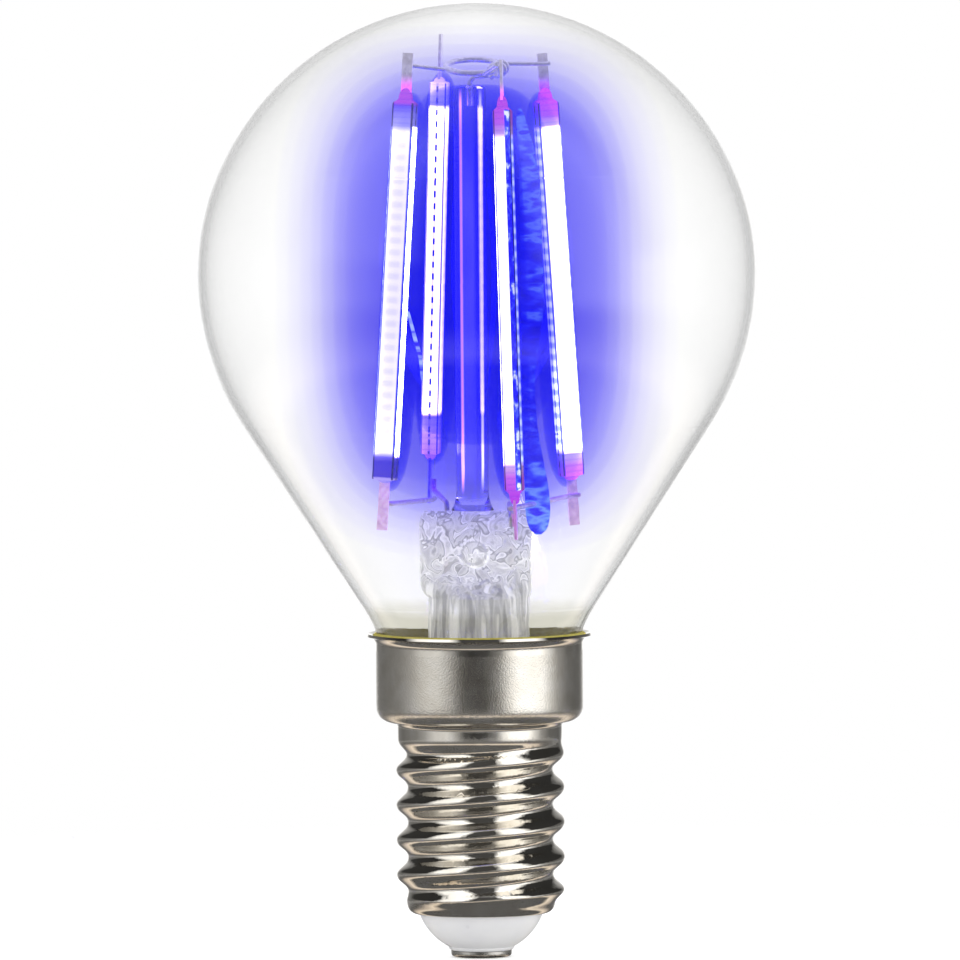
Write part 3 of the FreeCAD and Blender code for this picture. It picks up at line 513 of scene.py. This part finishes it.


# %% [markdown]
# Lit silicone. Seen while the lamp burns, the bar is white where it is lit, with soft marks at the pitch of
# the chips and a thin dark blue line of painted shade along each edge of the section. Both ends have no
# chips:
# there the silicone glows violet. The pattern reads the numbers that the points carry. The light is given off
# by the surface, each face by its own strength, because the same blue glow lies in front of all of them at
# other depths.


# %% The lit coat
CHIP_PITCH = 0.955
LIT_HALF = (12.7, 13.3)
TIP = 16.3


def waves_of(tree, along, length):
    """A wave along the bar, once over each length in millimetres: sin(2 pi s / length)."""
    return maths(tree, "SINE", maths(tree, "MULTIPLY", along, 2 * math.pi / length))


def lit_length(tree, spot, strip, shaded_half):
    """How the bar looks over its chips: its colour, the share of light that the dark lines leave, and the
    thin lines of painted shade along the four corners of the section."""
    across, outwards = (maths(tree, "ABSOLUTE", spot[axis]) for axis in "XY")
    marks = span(tree, waves_of(tree, spot["Z"], CHIP_PITCH), -1.0, 1.0)
    # Painted shade: a thin dark line along each long corner of the bar.
    edge_shade = span(tree, maths(tree, "MINIMUM", across, outwards), 0.74, 0.84)
    side_face = span(tree, across, 0.8, 0.9)
    seam = maths(tree, "MULTIPLY", span(tree, outwards, 0.08, 0.16, 1.0, 0.0), side_face)
    least, most = (0.0, 0.0) if shaded_half else (0.35, 1.0)
    dotted = maths(tree, "MULTIPLY", seam, span(tree, marks, 0.3, 0.7, least, most))
    dark = maths(tree, "MAXIMUM", maths(tree, "MULTIPLY", edge_shade, 0.8), dotted)
    shade = maths(tree, "SUBTRACT", 1.0, maths(tree, "MULTIPLY", dark, 0.85))
    chips = maths(tree, "MULTIPLY", marks, span(tree, across, 0.35, 0.6, 1.0, 0.35))
    core = blend_colours(tree, chips, "#ffffff", "#ececff")
    if strip:
        narrow = span(tree, spot["Y"], 0.8, 0.9) if shaded_half else side_face
        core = blend_colours(tree, narrow, core, blend_colours(tree, marks, "#d0e4ff", "#8496ff"))
        shade = maths(tree, "MULTIPLY", shade, span(tree, narrow, 0.0, 1.0, 1.0, strip))
    return blend_colours(tree, dark, core, "#2a3cf0"), shade, edge_shade


def violet_ends(tree, along, edge_shade, dark_end, top, low):
    """The colour of both ends without chips, each through its own stops to the tip, with blue outlines:
    painted shade along the corners of the section, and bands across.
    """
    start = LIT_HALF[0] + 0.1
    upper = ramp(tree, span(tree, along, start, TIP), top)
    lower = ramp(tree, span(tree, along, dark_end - start, -TIP), low)
    tone = blend_colours(tree, span(tree, along, -1.0, 1.0), lower, upper)
    bands = span(tree, waves_of(tree, along, CHIP_PITCH / 2), 0.2, 1.0, 0.0, 0.25)
    outlines = maths(tree, "MULTIPLY", maths(tree, "MAXIMUM", edge_shade, bands), 0.7)
    return blend_colours(tree, outlines, tone, "#2414e8")


def painted_strip_shade(tree, spot, tone, shade, lit):
    """The colour, the share of light and the lit length, with half of the bar in painted shade behind its
    strip:
    mottled dark blue.
    """
    half = maths(tree, "MULTIPLY", span(tree, spot["Y"], 0.24, 0.32), span(tree, spot["X"], 0.8, 0.9))
    patches = grain(tree, 0.55, 3.0, (1.0, 1.0, 1.6))
    mottled = ramp(tree, patches, [(0.35, "#0c04c8"), (0.5, "#2420f8"), (0.58, "#4a60ff"), (0.66, "#e0ecff")])
    tone = blend_colours(tree, half, tone, mottled)
    shade = maths(tree, "MULTIPLY", shade, span(tree, half, 0.0, 1.0, 1.0, 0.45))
    return tone, shade, maths(tree, "MAXIMUM", lit, half)


def light_through(tree, spot, coat, tone, shade, lit):
    """The light that is seen through the bulb, strong enough to stay white behind the blue glow. The faces
    towards the photograph are set by it, and the others are seen across more of the glow, or less. Little
    blue is lost on the way out, so the strong light is given off with less of it and arrives white."""
    (power, power_blue), (other, other_blue), end_power = coat["power"]
    shown = 0.0
    for axis, sign in coat["faces"]:
        face = maths(tree, "MULTIPLY", spot[axis], float(sign))
        shown = maths(tree, "MAXIMUM", shown, span(tree, face, 0.68, 0.78))
    body = maths(tree, "MULTIPLY", lit, span(tree, shown, 0.0, 1.0, other, power))
    strength = maths(tree, "ADD", body, span(tree, lit, 0.0, 1.0, end_power, 0.0))
    kept_blue = span(tree, shown, 0.0, 1.0, other_blue / other, power_blue / power)
    end_blue = span(tree, lit, 0.0, 1.0, min(1.0, 4.0 / end_power), 0.0)
    blue = maths(tree, "ADD", maths(tree, "MULTIPLY", lit, kept_blue), end_blue)
    balance = add(tree, "ShaderNodeCombineXYZ", {2: blue}, i0=1.0, i1=1.0)
    sent = add(tree, "ShaderNodeVectorMath", {0: tone, 1: balance.outputs[0]}, s_operation="MULTIPLY")
    seen = maths(tree, "MULTIPLY", shade, strength)
    return add(tree, "ShaderNodeEmission", {"Color": sent.outputs[0], "Strength": seen})


def lit_silicone(side, coat, top, low):
    """Clear cast silicone over lit chips. The first shader is what other surfaces get from it, and the
    second is what is seen through the bulb. The right front filament has a half in painted shade behind its
    strip, which stays mottled blue."""
    shaded_half = side == "front_right"
    dark_end = coat.get("dark_end", 0.0)
    material, tree = finish_of(f"lit_clear_silicone_{side}")
    place = add(tree, "ShaderNodeAttribute", s_attribute_name="place").outputs["Vector"]
    spot = add(tree, "ShaderNodeSeparateXYZ", {"Vector": place}).outputs
    lit = span(tree, spot["Z"], *LIT_HALF, 1.0, 0.0)
    lit = maths(tree, "MULTIPLY", lit, span(tree, spot["Z"], *(dark_end - end for end in LIT_HALF[::-1])))
    over_chips, shade, edge_shade = lit_length(tree, spot, coat["strip"], shaded_half)
    tone = blend_colours(tree, lit, violet_ends(tree, spot["Z"], edge_shade, dark_end, top, low), over_chips)
    # Painted shade: on the right front filament, the half that its strip hides from the chips.
    if shaded_half:
        tone, shade, lit = painted_strip_shade(tree, spot, tone, shade, lit)
    near = maths(tree, "MULTIPLY", shade, span(tree, lit, 0.0, 1.0, 0.5, 1.3))
    link = {"Base Color": tone, "Emission Color": tone, "Emission Strength": near}
    body = add(tree, "ShaderNodeBsdfPrincipled", link, Roughness=0.15, IOR=1.41)
    bright = light_through(tree, spot, coat, tone, shade, lit)
    through = add(tree, "ShaderNodeLightPath").outputs["Is Transmission Ray"]
    both = add(tree, "ShaderNodeMixShader", {0: through, 1: body.outputs[0], 2: bright.outputs[0]})
    add(tree, "ShaderNodeOutputMaterial", {"Surface": both.outputs[0]})
    return material


# Stops of the upper end and of the lower one, from the last chip to the tip.
ENDS = {
    "front_left": (
        [(0.0, "#d6d4ff"), (0.45, "#9a90ff"), (0.62, "#7a62ff"), (0.75, "#d05af0")],
        [(0.0, "#9d8cff"), (0.12, "#4a38e0"), (0.6, "#4632d8"), (0.66, "#c0b0ff")],
    ),
    "back_left": (
        [(0.0, "#dcdcff"), (0.4, "#b4a8ff"), (0.8, "#a088f8")],
        [(0.0, "#fce4ff"), (0.35, "#d0a4ff"), (0.9, "#985cf2")],
    ),
    "front_right": (
        [(0.0, "#f0c8ff"), (0.3, "#e070ff"), (0.9, "#d850f8")],
        [(0.0, "#f0c8ff"), (0.3, "#e070ff"), (0.9, "#c840f8")],
    ),
    "back_right": (
        [(0.0, "#e8d0ff"), (0.3, "#c060ff"), (0.9, "#b83cff")],
        [(0.0, "#e8d8ff"), (0.35, "#d078ff"), (0.9, "#c850ff")],
    ),
}
for side, coat in COATS.items():
    width, depth = coat["section"]
    local = coat_points(width, depth, coat["noses"])
    mesh = capped_mesh(f"{side}_lit_coat", stand(side, local, twist=coat["twist"]))
    half = np.array([width / 2, depth / 2, 1.0])
    marks = np.concatenate([local.reshape(-1, 3), local[[0, -1]].mean(axis=1)]) / half
    place = mesh.attributes.new("place", "FLOAT_VECTOR", "POINT")
    place.data.foreach_set("vector", marks.ravel())
    silicone = lit_silicone(side, coat, *ENDS[side])
    piece = add_piece(f"{side}_lit_coat", mesh, silicone)
    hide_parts(f"{side}_coat")
print("coats:", len(COATS))


# %% [markdown]
# Metal beside the light. The tabs and the bottom wires are the same metal as the others, but they stand
# within a millimetre of the violet ends, and their thin sheet and wire pick that colour up. So they get a
# little painted light of their own, a glow in that colour, strongest at the coat, that falls over one to
# three millimetres to the pale violet painted light of bare metal inside the bulb.


# %% Lit tabs and wires
def lit_metal(name, near, far):
    """Metal with a painted coloured light, given off as a glow, that falls from the near end to the far one.
    Each end is a colour, a height in millimetres and a strength."""
    (near_tone, near_height, near_light), (far_tone, far_height, far_light) = near, far
    material, tree = finish_of(name)
    patches = grain(tree, 0.4)
    tone = ramp(tree, patches, [(0.3, "#c9c2cc"), (0.7, "#e6e2ea")])
    share = span(tree, height_of(tree), far_height, near_height)
    uneven = span(tree, patches, 0.3, 0.7, 0.7, 1.0)
    power = maths(tree, "MULTIPLY", span(tree, share, 0.0, 1.0, far_light, near_light), uneven)
    glow = blend_colours(tree, share, far_tone, near_tone)
    link = {"Base Color": tone, "Emission Color": glow, "Emission Strength": power}
    link["Normal"] = bump(tree, patches, 0.01)
    surface(tree, link, Metallic=1.0, Roughness=0.35)
    return material


# The pale violet painted light that bare metal inside the bulb is given, away from the coats.
BARE_METAL_LIGHT = "#bcb8d0"
# The colour of the painted light on the top tab beside its coat, then the colour and the strength of the
# painted light on the low tab.
TAB_LIGHT = {
    "front_left": ("#ff58e8", "#e8b8ea", 1.0),
    "back_left": ("#d8c8ff", "#3a20ff", 3.0),
    "front_right": ("#ff60e0", "#e868f0", 0.6),
    "back_right": ("#c840ff", "#e8b8ea", 1.0),
}
for side, (_, height) in FILAMENTS.items():
    upper, lower, strength = TAB_LIGHT[side]
    below, above = (math.cos(LEAN) * (COAT_LENGTH / 2 + nose) for nose in COATS[side]["noses"])
    foot, top = height - below, height + above
    top_metal = lit_metal(f"lit_top_tab_{side}", (upper, top, 1.6), (BARE_METAL_LIGHT, top + 1.3, 0.75))
    low_metal = lit_metal(f"lit_low_tab_{side}", (lower, foot, strength), (lower, foot - 2.8, 0.8 * strength))
    nodes[f"{side}_top_tab"].material_slots[0].material = top_metal
    nodes[f"{side}_low_tab"].material_slots[0].material = low_metal
# The bottom wires get a painted violet light as well, falling off downwards.
violet_lit_wire = lit_metal("lit_nickel_wire", ("#b03cf4", 38.0, 0.8), (BARE_METAL_LIGHT, 36.0, 0.15))
for label in ("left_jumper", "right_jumper", "left_lead", "right_lead"):
    nodes[label].material_slots[0].material = violet_lit_wire
print("lit metal: 8 tabs and 4 wires")

# %% [markdown]
# The rod is drawn glass, clear but full of the blue light around it. Drawing leaves straight lines in it
# from end to end. The light of the filaments on it is painted: two highlights that shine as one rosy and one
# white thread along it, and a faint painted glow between them.


# %% Drawn rod
ROD_SIDEWAYS = -0.45
# Azimuths in radians of the rosy and of the white painted highlight.
ROSY, WHITE = (-0.62, 2.52), (0.72, -2.42)


def painted_glint_lines(tree, azimuth, spots):
    """Painted highlights: bright lines along the rod at two azimuths in radians."""
    apart = (maths(tree, "ABSOLUTE", maths(tree, "SUBTRACT", azimuth, spot)) for spot in spots)
    return maths(tree, "MAXIMUM", *(span(tree, off, 0.02, 0.16, 1.0, 0.0) for off in apart))


def drawn_rod():
    """Blue-filled glass with painted highlights, bright lines at four azimuths round the rod's own axis, and
    a faint painted glow between them, all given off as light. The azimuth is the angle of (x - rod's place,
    -y), so it is 0 towards the photograph."""
    material, tree = finish_of("drawn_glass_rod")
    spot = add(tree, "ShaderNodeSeparateXYZ", {"Vector": places(tree)}).outputs
    sideways = maths(tree, "SUBTRACT", spot["X"], ROD_SIDEWAYS)
    azimuth = maths(tree, "ARCTAN2", sideways, maths(tree, "MULTIPLY", spot["Y"], -1.0))
    rosy, white = painted_glint_lines(tree, azimuth, ROSY), painted_glint_lines(tree, azimuth, WHITE)
    # A faint painted glow between the lines, strongest towards the front and the back of the rod.
    facing = maths(tree, "ABSOLUTE", maths(tree, "SINE", maths(tree, "ADD", azimuth, 0.15)))
    core = span(tree, facing, 0.25, 0.5, 0.07, 0.0)
    core = maths(tree, "MULTIPLY", core, span(tree, spot["Z"], 40.0, 54.0, 0.3, 1.0))
    core = maths(tree, "MULTIPLY", core, span(tree, spot["Z"], 60.0, 68.0, 1.0, 0.25))
    lines = maths(tree, "MAXIMUM", maths(tree, "MULTIPLY", rosy, 0.9), maths(tree, "MULTIPLY", white, 0.6))
    flow = span(tree, grain(tree, 1.5, 2.0, (1.0, 1.0, 6.0)), 0.3, 0.7, 0.6, 1.0)
    ends = maths(tree, "MULTIPLY", span(tree, spot["Z"], 37.4, 40.0), span(tree, spot["Z"], 70.2, 68.5))
    power = maths(tree, "MULTIPLY", maths(tree, "MAXIMUM", lines, core), flow)
    power = maths(tree, "MULTIPLY", power, maths(tree, "MULTIPLY", ends, 8.0))
    link = {"Emission Color": blend_colours(tree, rosy, "#f4f0ff", "#ff9ae8"), "Emission Strength": power}
    settings = {"Roughness": 0.0, "IOR": 1.52, "Transmission_Weight": 1.0, "Base_Color": linear("#ffffff")}
    shader = add(tree, "ShaderNodeBsdfPrincipled", link, **settings)
    inside = add(tree, "ShaderNodeVolumeAbsorption", Color=linear("#4a3af0"), Density=260.0)
    add(tree, "ShaderNodeOutputMaterial", {"Surface": shader.outputs[0], "Volume": inside.outputs[0]})
    return material


nodes["support_rod"].material_slots[0].material = drawn_rod()
print("rod dressed")

# %% [markdown]
# The glow. Round a lit blue lamp the air and the glass look blue, and against a white wall that means that
# the red and green of the wall are lost on the way: the glow is a coloured shade, not added light. So it is
# made as clear shapes that take red and green out of what passes through. Nested shapes of little density
# add up to a soft edge, and each is plain enough to go into the exported model. Close round each filament,
# and in the middle between them, the blue is deeper.


# %% Shapes of the glow
BLUE, DEEP_BLUE = "#5a40fb", "#3a18fd"


def glow_gas(name, density, tint):
    """Blue glow: a volume that absorbs red and green, with no surface of its own."""
    material, tree = finish_of(name)
    inside = add(tree, "ShaderNodeVolumeAbsorption", Color=linear(tint), Density=density)
    add(tree, "ShaderNodeOutputMaterial", {"Volume": inside.outputs[0]})
    return material


def glow_round(radius, low, high, power=3.3, count=96, rows=64):
    """A superellipsoid of revolution: the radius is (1 - |h|^power)^(1/power) of the full one, where h runs
    from -1 at the lowest point to 1 at the highest."""
    turn = np.linspace(0, 2 * np.pi, count, endpoint=False)
    h = np.sin(np.linspace(-np.pi / 2, np.pi / 2, rows + 2)[1:-1])
    reach = radius * (1 - np.abs(h) ** power) ** (1 / power)
    z = np.broadcast_to(((low + high) / 2 + h * (high - low) / 2)[:, None], (rows, count))
    grid = np.stack([np.outer(reach, np.cos(turn)), np.outer(reach, np.sin(turn)), z], axis=-1)
    return grid * MM


# Radius, lowest and highest point in mm, and density.
GLOW = [
    (10.6, 38.2, 70.0, 24.0),
    (11.6, 37.0, 71.0, 30.0),
    (12.6, 35.9, 72.0, 24.0),
    (13.4, 35.1, 72.8, 15.0),
    (14.3, 34.2, 73.7, 10.0),
    (15.3, 33.3, 74.5, 8.0),
    (16.3, 32.4, 75.2, 7.0),
]
for number, (radius, low, high, density) in enumerate(GLOW, 1):
    mesh = capped_mesh(f"glow_{number}", glow_round(radius, low, high))
    add_piece(f"glow_{number}", mesh, glow_gas(f"blue_glow_{number}", density, BLUE))


def sheath_points(reach, half_length, count=32, rows=60):
    """A round bar along the filament whose radius falls to nothing at both ends, as (1 - |s|^6)^(1/2)."""
    turn = np.linspace(0, 2 * np.pi, count, endpoint=False)
    s = np.sin(np.linspace(-np.pi / 2, np.pi / 2, rows + 2)[1:-1])
    size = reach * (1 - s**6) ** 0.5
    along = np.broadcast_to((s * half_length)[:, None], (rows, count))
    return np.stack([np.outer(size, np.cos(turn)), np.outer(size, np.sin(turn)), along], axis=-1)


for side in FILAMENTS:
    mesh = capped_mesh(f"{side}_deep_glow", stand(side, sheath_points(1.65, 16.0), inwards=0.5))
    add_piece(f"{side}_deep_glow", mesh, glow_gas(f"deep_blue_glow_{side}", 900.0, DEEP_BLUE))
mesh = capped_mesh("middle_deep_glow", glow_round(6.6, 41.5, 70.4))
add_piece("middle_deep_glow", mesh, glow_gas("deep_blue_glow_middle", 200.0, DEEP_BLUE))
print("glow shapes:", len(GLOW) + len(FILAMENTS) + 1)

# %% [markdown]
# Streaks. The curved glass and the rod mirror the filaments into the middle of the bulb: one broad, mottled
# blue streak on the right, and a thin dotted one on the left. Each is a flat ribbon, thinner than paper,
# whose middle line and width are read off the photograph every few millimetres and smoothed.


# %% Mirrored streaks
def ribbon(path, depth, thickness=0.03, rows=90, count=16):
    """A flat bar along rising points (height, sideways, half width), with the width and the middle line
    smoothed by a running mean, and an oval section."""
    knots = np.array(path)
    heights = np.linspace(knots[0, 0], knots[-1, 0], rows)
    reach = 6
    smooth = np.ones(2 * reach + 1) / (2 * reach + 1)
    rough = (np.interp(heights, knots[:, 0], knots[:, column]) for column in (1, 2))
    middle, half = (np.convolve(np.pad(line, reach, mode="edge"), smooth, "valid") for line in rough)
    half = half * np.sqrt(1 - np.linspace(-1, 1, rows) ** 20 * 0.95)
    turn = np.linspace(0, 2 * np.pi, count, endpoint=False)
    sideways = middle[:, None] + np.outer(half, np.cos(turn))
    forwards = np.broadcast_to(depth + thickness * np.sin(turn), sideways.shape)
    return np.stack([sideways, forwards, np.broadcast_to(heights[:, None], sideways.shape)], axis=-1) * MM


def mirrored_light(name, patch, stretch, stops, strength, paler=()):
    """What a mirrored filament leaves: patches of light and dark blue, seen through the bulb. Paler holds
    the pairs of heights in millimetres between which the patches get lighter."""
    material, tree = finish_of(name)
    patches = grain(tree, patch, 2.0, stretch)
    height = height_of(tree)
    for start, end in paler:
        patches = maths(tree, "ADD", patches, span(tree, height, start, end, 0.0, 0.12))
    tone = ramp(tree, patches, stops)
    shine = add(tree, "ShaderNodeEmission", {"Color": tone}, Strength=strength)
    add(tree, "ShaderNodeOutputMaterial", {"Surface": shine.outputs[0]})
    return material


# Height, place sideways and half width in mm.
RIGHT_STREAK = [
    (34.4, 4.80, 1.00),
    (36.6, 4.80, 1.10),
    (38.6, 4.70, 0.95),
    (42.5, 4.22, 0.56),
    (47.9, 4.02, 0.50),
    (50.7, 4.44, 0.85),
    (53.3, 4.50, 0.93),
    (64.1, 4.30, 0.80),
    (68.5, 3.44, 0.32),
]
LEFT_STREAK = [
    (46.8, -4.40, 0.10),
    (48.7, -4.52, 0.16),
    (50.1, -4.93, 0.16),
    (52.4, -5.50, 0.11),
]
BLUES = [(0.3, "#1206e0"), (0.46, "#1c14f6"), (0.56, "#3c4cff"), (0.66, "#7aa8ff"), (0.76, "#3428f8")]
PALER = [(56.0, 62.0), (39.0, 37.0)]
mottled_blue = mirrored_light("mirrored_filament", 1.1, (1.8, 1.0, 0.7), BLUES, 1.1, PALER)
CHIPS = [(0.36, "#2a18f0"), (0.6, "#bcd8ff")]
dotted_blue = mirrored_light("mirrored_chips", 0.5, (9.0, 9.0, 1.0), CHIPS, 1.5)
add_piece("right_streak", capped_mesh("right_streak", ribbon(RIGHT_STREAK, -3.4)), mottled_blue)
add_piece("left_streak", capped_mesh("left_streak", ribbon(LEFT_STREAK, -5.5)), dotted_blue)
print("streaks: 2")

# %% [markdown]
# The stage: a white floor, a white surround that the camera and the glass see, and three soft lamps. A metal
# only looks like metal when it has light and dark to mirror, so what the gloss sees is a ring of fields:
# dark behind the camera, bright at its right, softer at its left, grey at both sides and bright again at the
# back.


# %% Surround
# Clear glass loses a little light at each of its four faces, and this much more white makes up for it.
THROUGH = 1.14
# Fields round the lamp, from the back by the left, the camera at 0.5 and the right to the back again.
ROOM = [
    (0.0, "#f0f0f0"),
    (0.03, "#d8d8d8"),
    (0.06, "#6a6a6a"),
    (0.12, "#5c5c5c"),
    (0.22, "#6c6c6c"),
    (0.27, "#8a8a8a"),
    (0.315, "#b6b6b6"),
    (0.37, "#c0c0c0"),
    (0.41, "#8e8e8e"),
    (0.44, "#484848"),
    (0.475, "#303030"),
    (0.525, "#3c3c3c"),
    (0.565, "#747474"),
    (0.595, "#dadada"),
    (0.625, "#ffffff"),
    (0.70, "#fcfcfc"),
    (0.735, "#c2c2c2"),
    (0.77, "#828282"),
    (0.82, "#585858"),
    (0.90, "#505050"),
    (0.94, "#6a6a6a"),
    (0.97, "#d8d8d8"),
    (1.0, "#f0f0f0"),
]
TOWERS = [
    (0.0, "#c0c0c0"),
    (0.04, "#9a9a9a"),
    (0.09, "#2c2c2c"),
    (0.27, "#262626"),
    (0.31, "#e8e8e8"),
    (0.41, "#ffffff"),
    (0.445, "#3c3c3c"),
    (0.555, "#3c3c3c"),
    (0.585, "#ffffff"),
    (0.67, "#ffffff"),
    (0.71, "#2c2c2c"),
    (0.91, "#262626"),
    (0.96, "#9a9a9a"),
    (1.0, "#c0c0c0"),
]
TABLE = [(0.0, "#2a2827"), (0.13, "#a89c90"), (0.3, "#d6c8b6"), (0.5, "#181818")]


def surround():
    """White to the eye and through glass, fields of light and dark to gloss, and an even grey for the rest.
    At the height of the lamp gloss sees a soft room, above it two tall lit fields, and below it warm table
    light."""
    world = bpy.data.worlds.new("studio")
    world.use_nodes = True
    tree = world.node_tree
    tree.nodes.clear()
    way = add(tree, "ShaderNodeTexCoord").outputs["Generated"]
    split = add(tree, "ShaderNodeSeparateXYZ", {"Vector": way})
    angle = maths(tree, "ARCTAN2", split.outputs["X"], maths(tree, "MULTIPLY", split.outputs["Y"], -1.0))
    turn = maths(tree, "ADD", maths(tree, "DIVIDE", angle, 2 * math.pi), 0.5)
    rise = split.outputs["Z"]
    above = blend_colours(tree, span(tree, rise, 0.85, 0.98), ramp(tree, turn, TOWERS), "#606060")
    below = ramp(tree, span(tree, rise, -0.3, -0.9), TABLE)
    room = blend_colours(tree, span(tree, rise, 0.04, 0.2), ramp(tree, turn, ROOM), above)
    room = blend_colours(tree, span(tree, rise, -0.12, -0.28), room, below)
    path = add(tree, "ShaderNodeLightPath").outputs
    # What comes straight through the glass is white. What was mirrored in one of its faces on the way is
    # grey towards the camera's side, or else every face would lay a pale veil over the deep blue.
    straight = maths(tree, "LESS_THAN", path["Glossy Depth"], 0.5)
    straight = maths(tree, "MULTIPLY", path["Is Transmission Ray"], straight)
    clear = maths(tree, "MAXIMUM", path["Is Camera Ray"], maths(tree, "MULTIPLY", straight, THROUGH))
    even = maths(tree, "MULTIPLY", path["Is Diffuse Ray"], 0.8)
    bent = maths(tree, "SUBTRACT", path["Is Transmission Ray"], straight)
    soft = maths(tree, "MULTIPLY", bent, span(tree, split.outputs["Y"], -0.7, 0.1, 0.3, 1.0))
    mirrored = maths(tree, "SUBTRACT", path["Is Glossy Ray"], path["Is Transmission Ray"])
    mirrored = maths(tree, "MAXIMUM", mirrored, 0.0)
    gloss = maths(tree, "MAXIMUM", soft, maths(tree, "MULTIPLY", mirrored, 1.5))
    strength = maths(tree, "MAXIMUM", clear, maths(tree, "MAXIMUM", even, gloss))
    colour = blend_colours(tree, mirrored, "#ffffff", room)
    back = add(tree, "ShaderNodeBackground", {"Color": colour, "Strength": strength})
    add(tree, "ShaderNodeOutputWorld", {"Surface": back.outputs[0]})
    return world


def soft_lamp(name, place, size, power):
    """An area lamp that faces the middle of the bulb."""
    light = bpy.data.lights.new(name, "AREA")
    light.shape = "RECTANGLE"
    light.size, light.size_y = size
    light.energy = power
    lamp = bpy.data.objects.new(name, light)
    lamp.location = place
    lamp.visible_glossy = lamp.visible_transmission = False
    aim = Vector((0, 0, 0.03)) - Vector(place)
    lamp.rotation_euler = aim.to_track_quat("-Z", "Y").to_euler()
    bpy.context.scene.collection.objects.link(lamp)


bpy.context.scene.world = surround()
soft_lamp("right_softbox", (0.50, -0.32, 0.10), (0.22, 0.5), 0.9)
soft_lamp("left_softbox", (-0.52, -0.30, 0.12), (0.26, 0.5), 0.55)
soft_lamp("top_softbox", (0.0, -0.05, 0.6), (0.5, 0.5), 1.2)


# %% [markdown]
# The floor is a round sheet of white card under the lamp. The thread mirrors it only faintly, because a card
# so near would hide the fields of the room.


# %% Floor
def white_floor(reach):
    """Matt white card. A little light of its own lifts it to the white of the surround and keeps the shadow.
    Its rim fades out, so that no edge shows and the metal mirrors the room beyond it."""
    material, tree = finish_of("white_card")
    path = add(tree, "ShaderNodeLightPath").outputs
    spot = add(tree, "ShaderNodeTexCoord").outputs["Object"]
    away = add(tree, "ShaderNodeVectorMath", {0: spot}, s_operation="LENGTH").outputs["Value"]
    card = add(tree, "ShaderNodeBsdfDiffuse", Color=linear("#f2f2f2"))
    seen = maths(tree, "MAXIMUM", path["Is Camera Ray"], path["Is Transmission Ray"])
    lift = add(tree, "ShaderNodeEmission", {"Strength": maths(tree, "MULTIPLY", seen, 0.5)})
    both = add(tree, "ShaderNodeAddShader", {0: card.outputs[0], 1: lift.outputs[0]})
    gone = add(tree, "ShaderNodeBsdfTransparent")
    rim = span(tree, away, reach * 0.4, reach * 0.95)
    mirrored = maths(tree, "SUBTRACT", path["Is Glossy Ray"], path["Is Transmission Ray"])
    rim = maths(tree, "MAXIMUM", rim, maths(tree, "MULTIPLY", mirrored, 0.85))
    bent = maths(tree, "GREATER_THAN", path["Glossy Depth"], 0.5)
    rim = maths(tree, "MAXIMUM", rim, maths(tree, "MULTIPLY", path["Is Transmission Ray"], bent))
    fade = add(tree, "ShaderNodeMixShader", {0: rim, 1: both.outputs[0], 2: gone.outputs[0]})
    add(tree, "ShaderNodeOutputMaterial", {"Surface": fade.outputs[0]})
    return material


FLOOR_REACH, FLOOR_SIDES = 0.15, 96
turn = np.linspace(0, 2 * np.pi, FLOOR_SIDES, endpoint=False)
rim = np.stack([FLOOR_REACH * np.cos(turn), FLOOR_REACH * np.sin(turn), np.zeros(FLOOR_SIDES)], axis=-1)
card = bpy.data.meshes.new("floor")
card.from_pydata(rim.tolist(), [], [tuple(range(FLOOR_SIDES))])
card.materials.append(white_floor(FLOOR_REACH))
floor = bpy.data.objects.new("floor", card)
floor.location = (0, 0, -0.00005)
bpy.context.scene.collection.objects.link(floor)

# %% [markdown]
# The camera stands far away with a long lens, three degrees above the middle of the lamp, and leans by less
# than half a degree, as in the photograph. The picture is 77.4 mm wide at the lamp.

# %% Camera
DISTANCE, PICTURE, TILT, ROLL = 1.2, 0.0774, math.radians(3.0), math.radians(-0.43)
lens = bpy.data.cameras.new("camera")
lens.sensor_width = 36.0
lens.lens = 36.0 * DISTANCE / PICTURE
lens.clip_start, lens.clip_end = 0.05, 10.0
camera = bpy.data.objects.new("camera", lens)
target = Vector((0.00016, 0.0, 0.0385))
camera.location = target + DISTANCE * Vector((0, -math.cos(TILT), math.sin(TILT)))
look = (target - camera.location).to_track_quat("-Z", "Y").to_matrix() @ Matrix.Rotation(ROLL, 3, "Z")
camera.rotation_euler = look.to_euler()
bpy.context.scene.collection.objects.link(camera)
bpy.context.scene.camera = camera
bpy.context.scene.view_settings.view_transform = "Standard"
bpy.context.scene.cycles.max_bounces = 20
bpy.context.scene.cycles.transmission_bounces = 20
bpy.context.scene.cycles.transparent_max_bounces = 32
print("lens:", round(lens.lens), "mm")
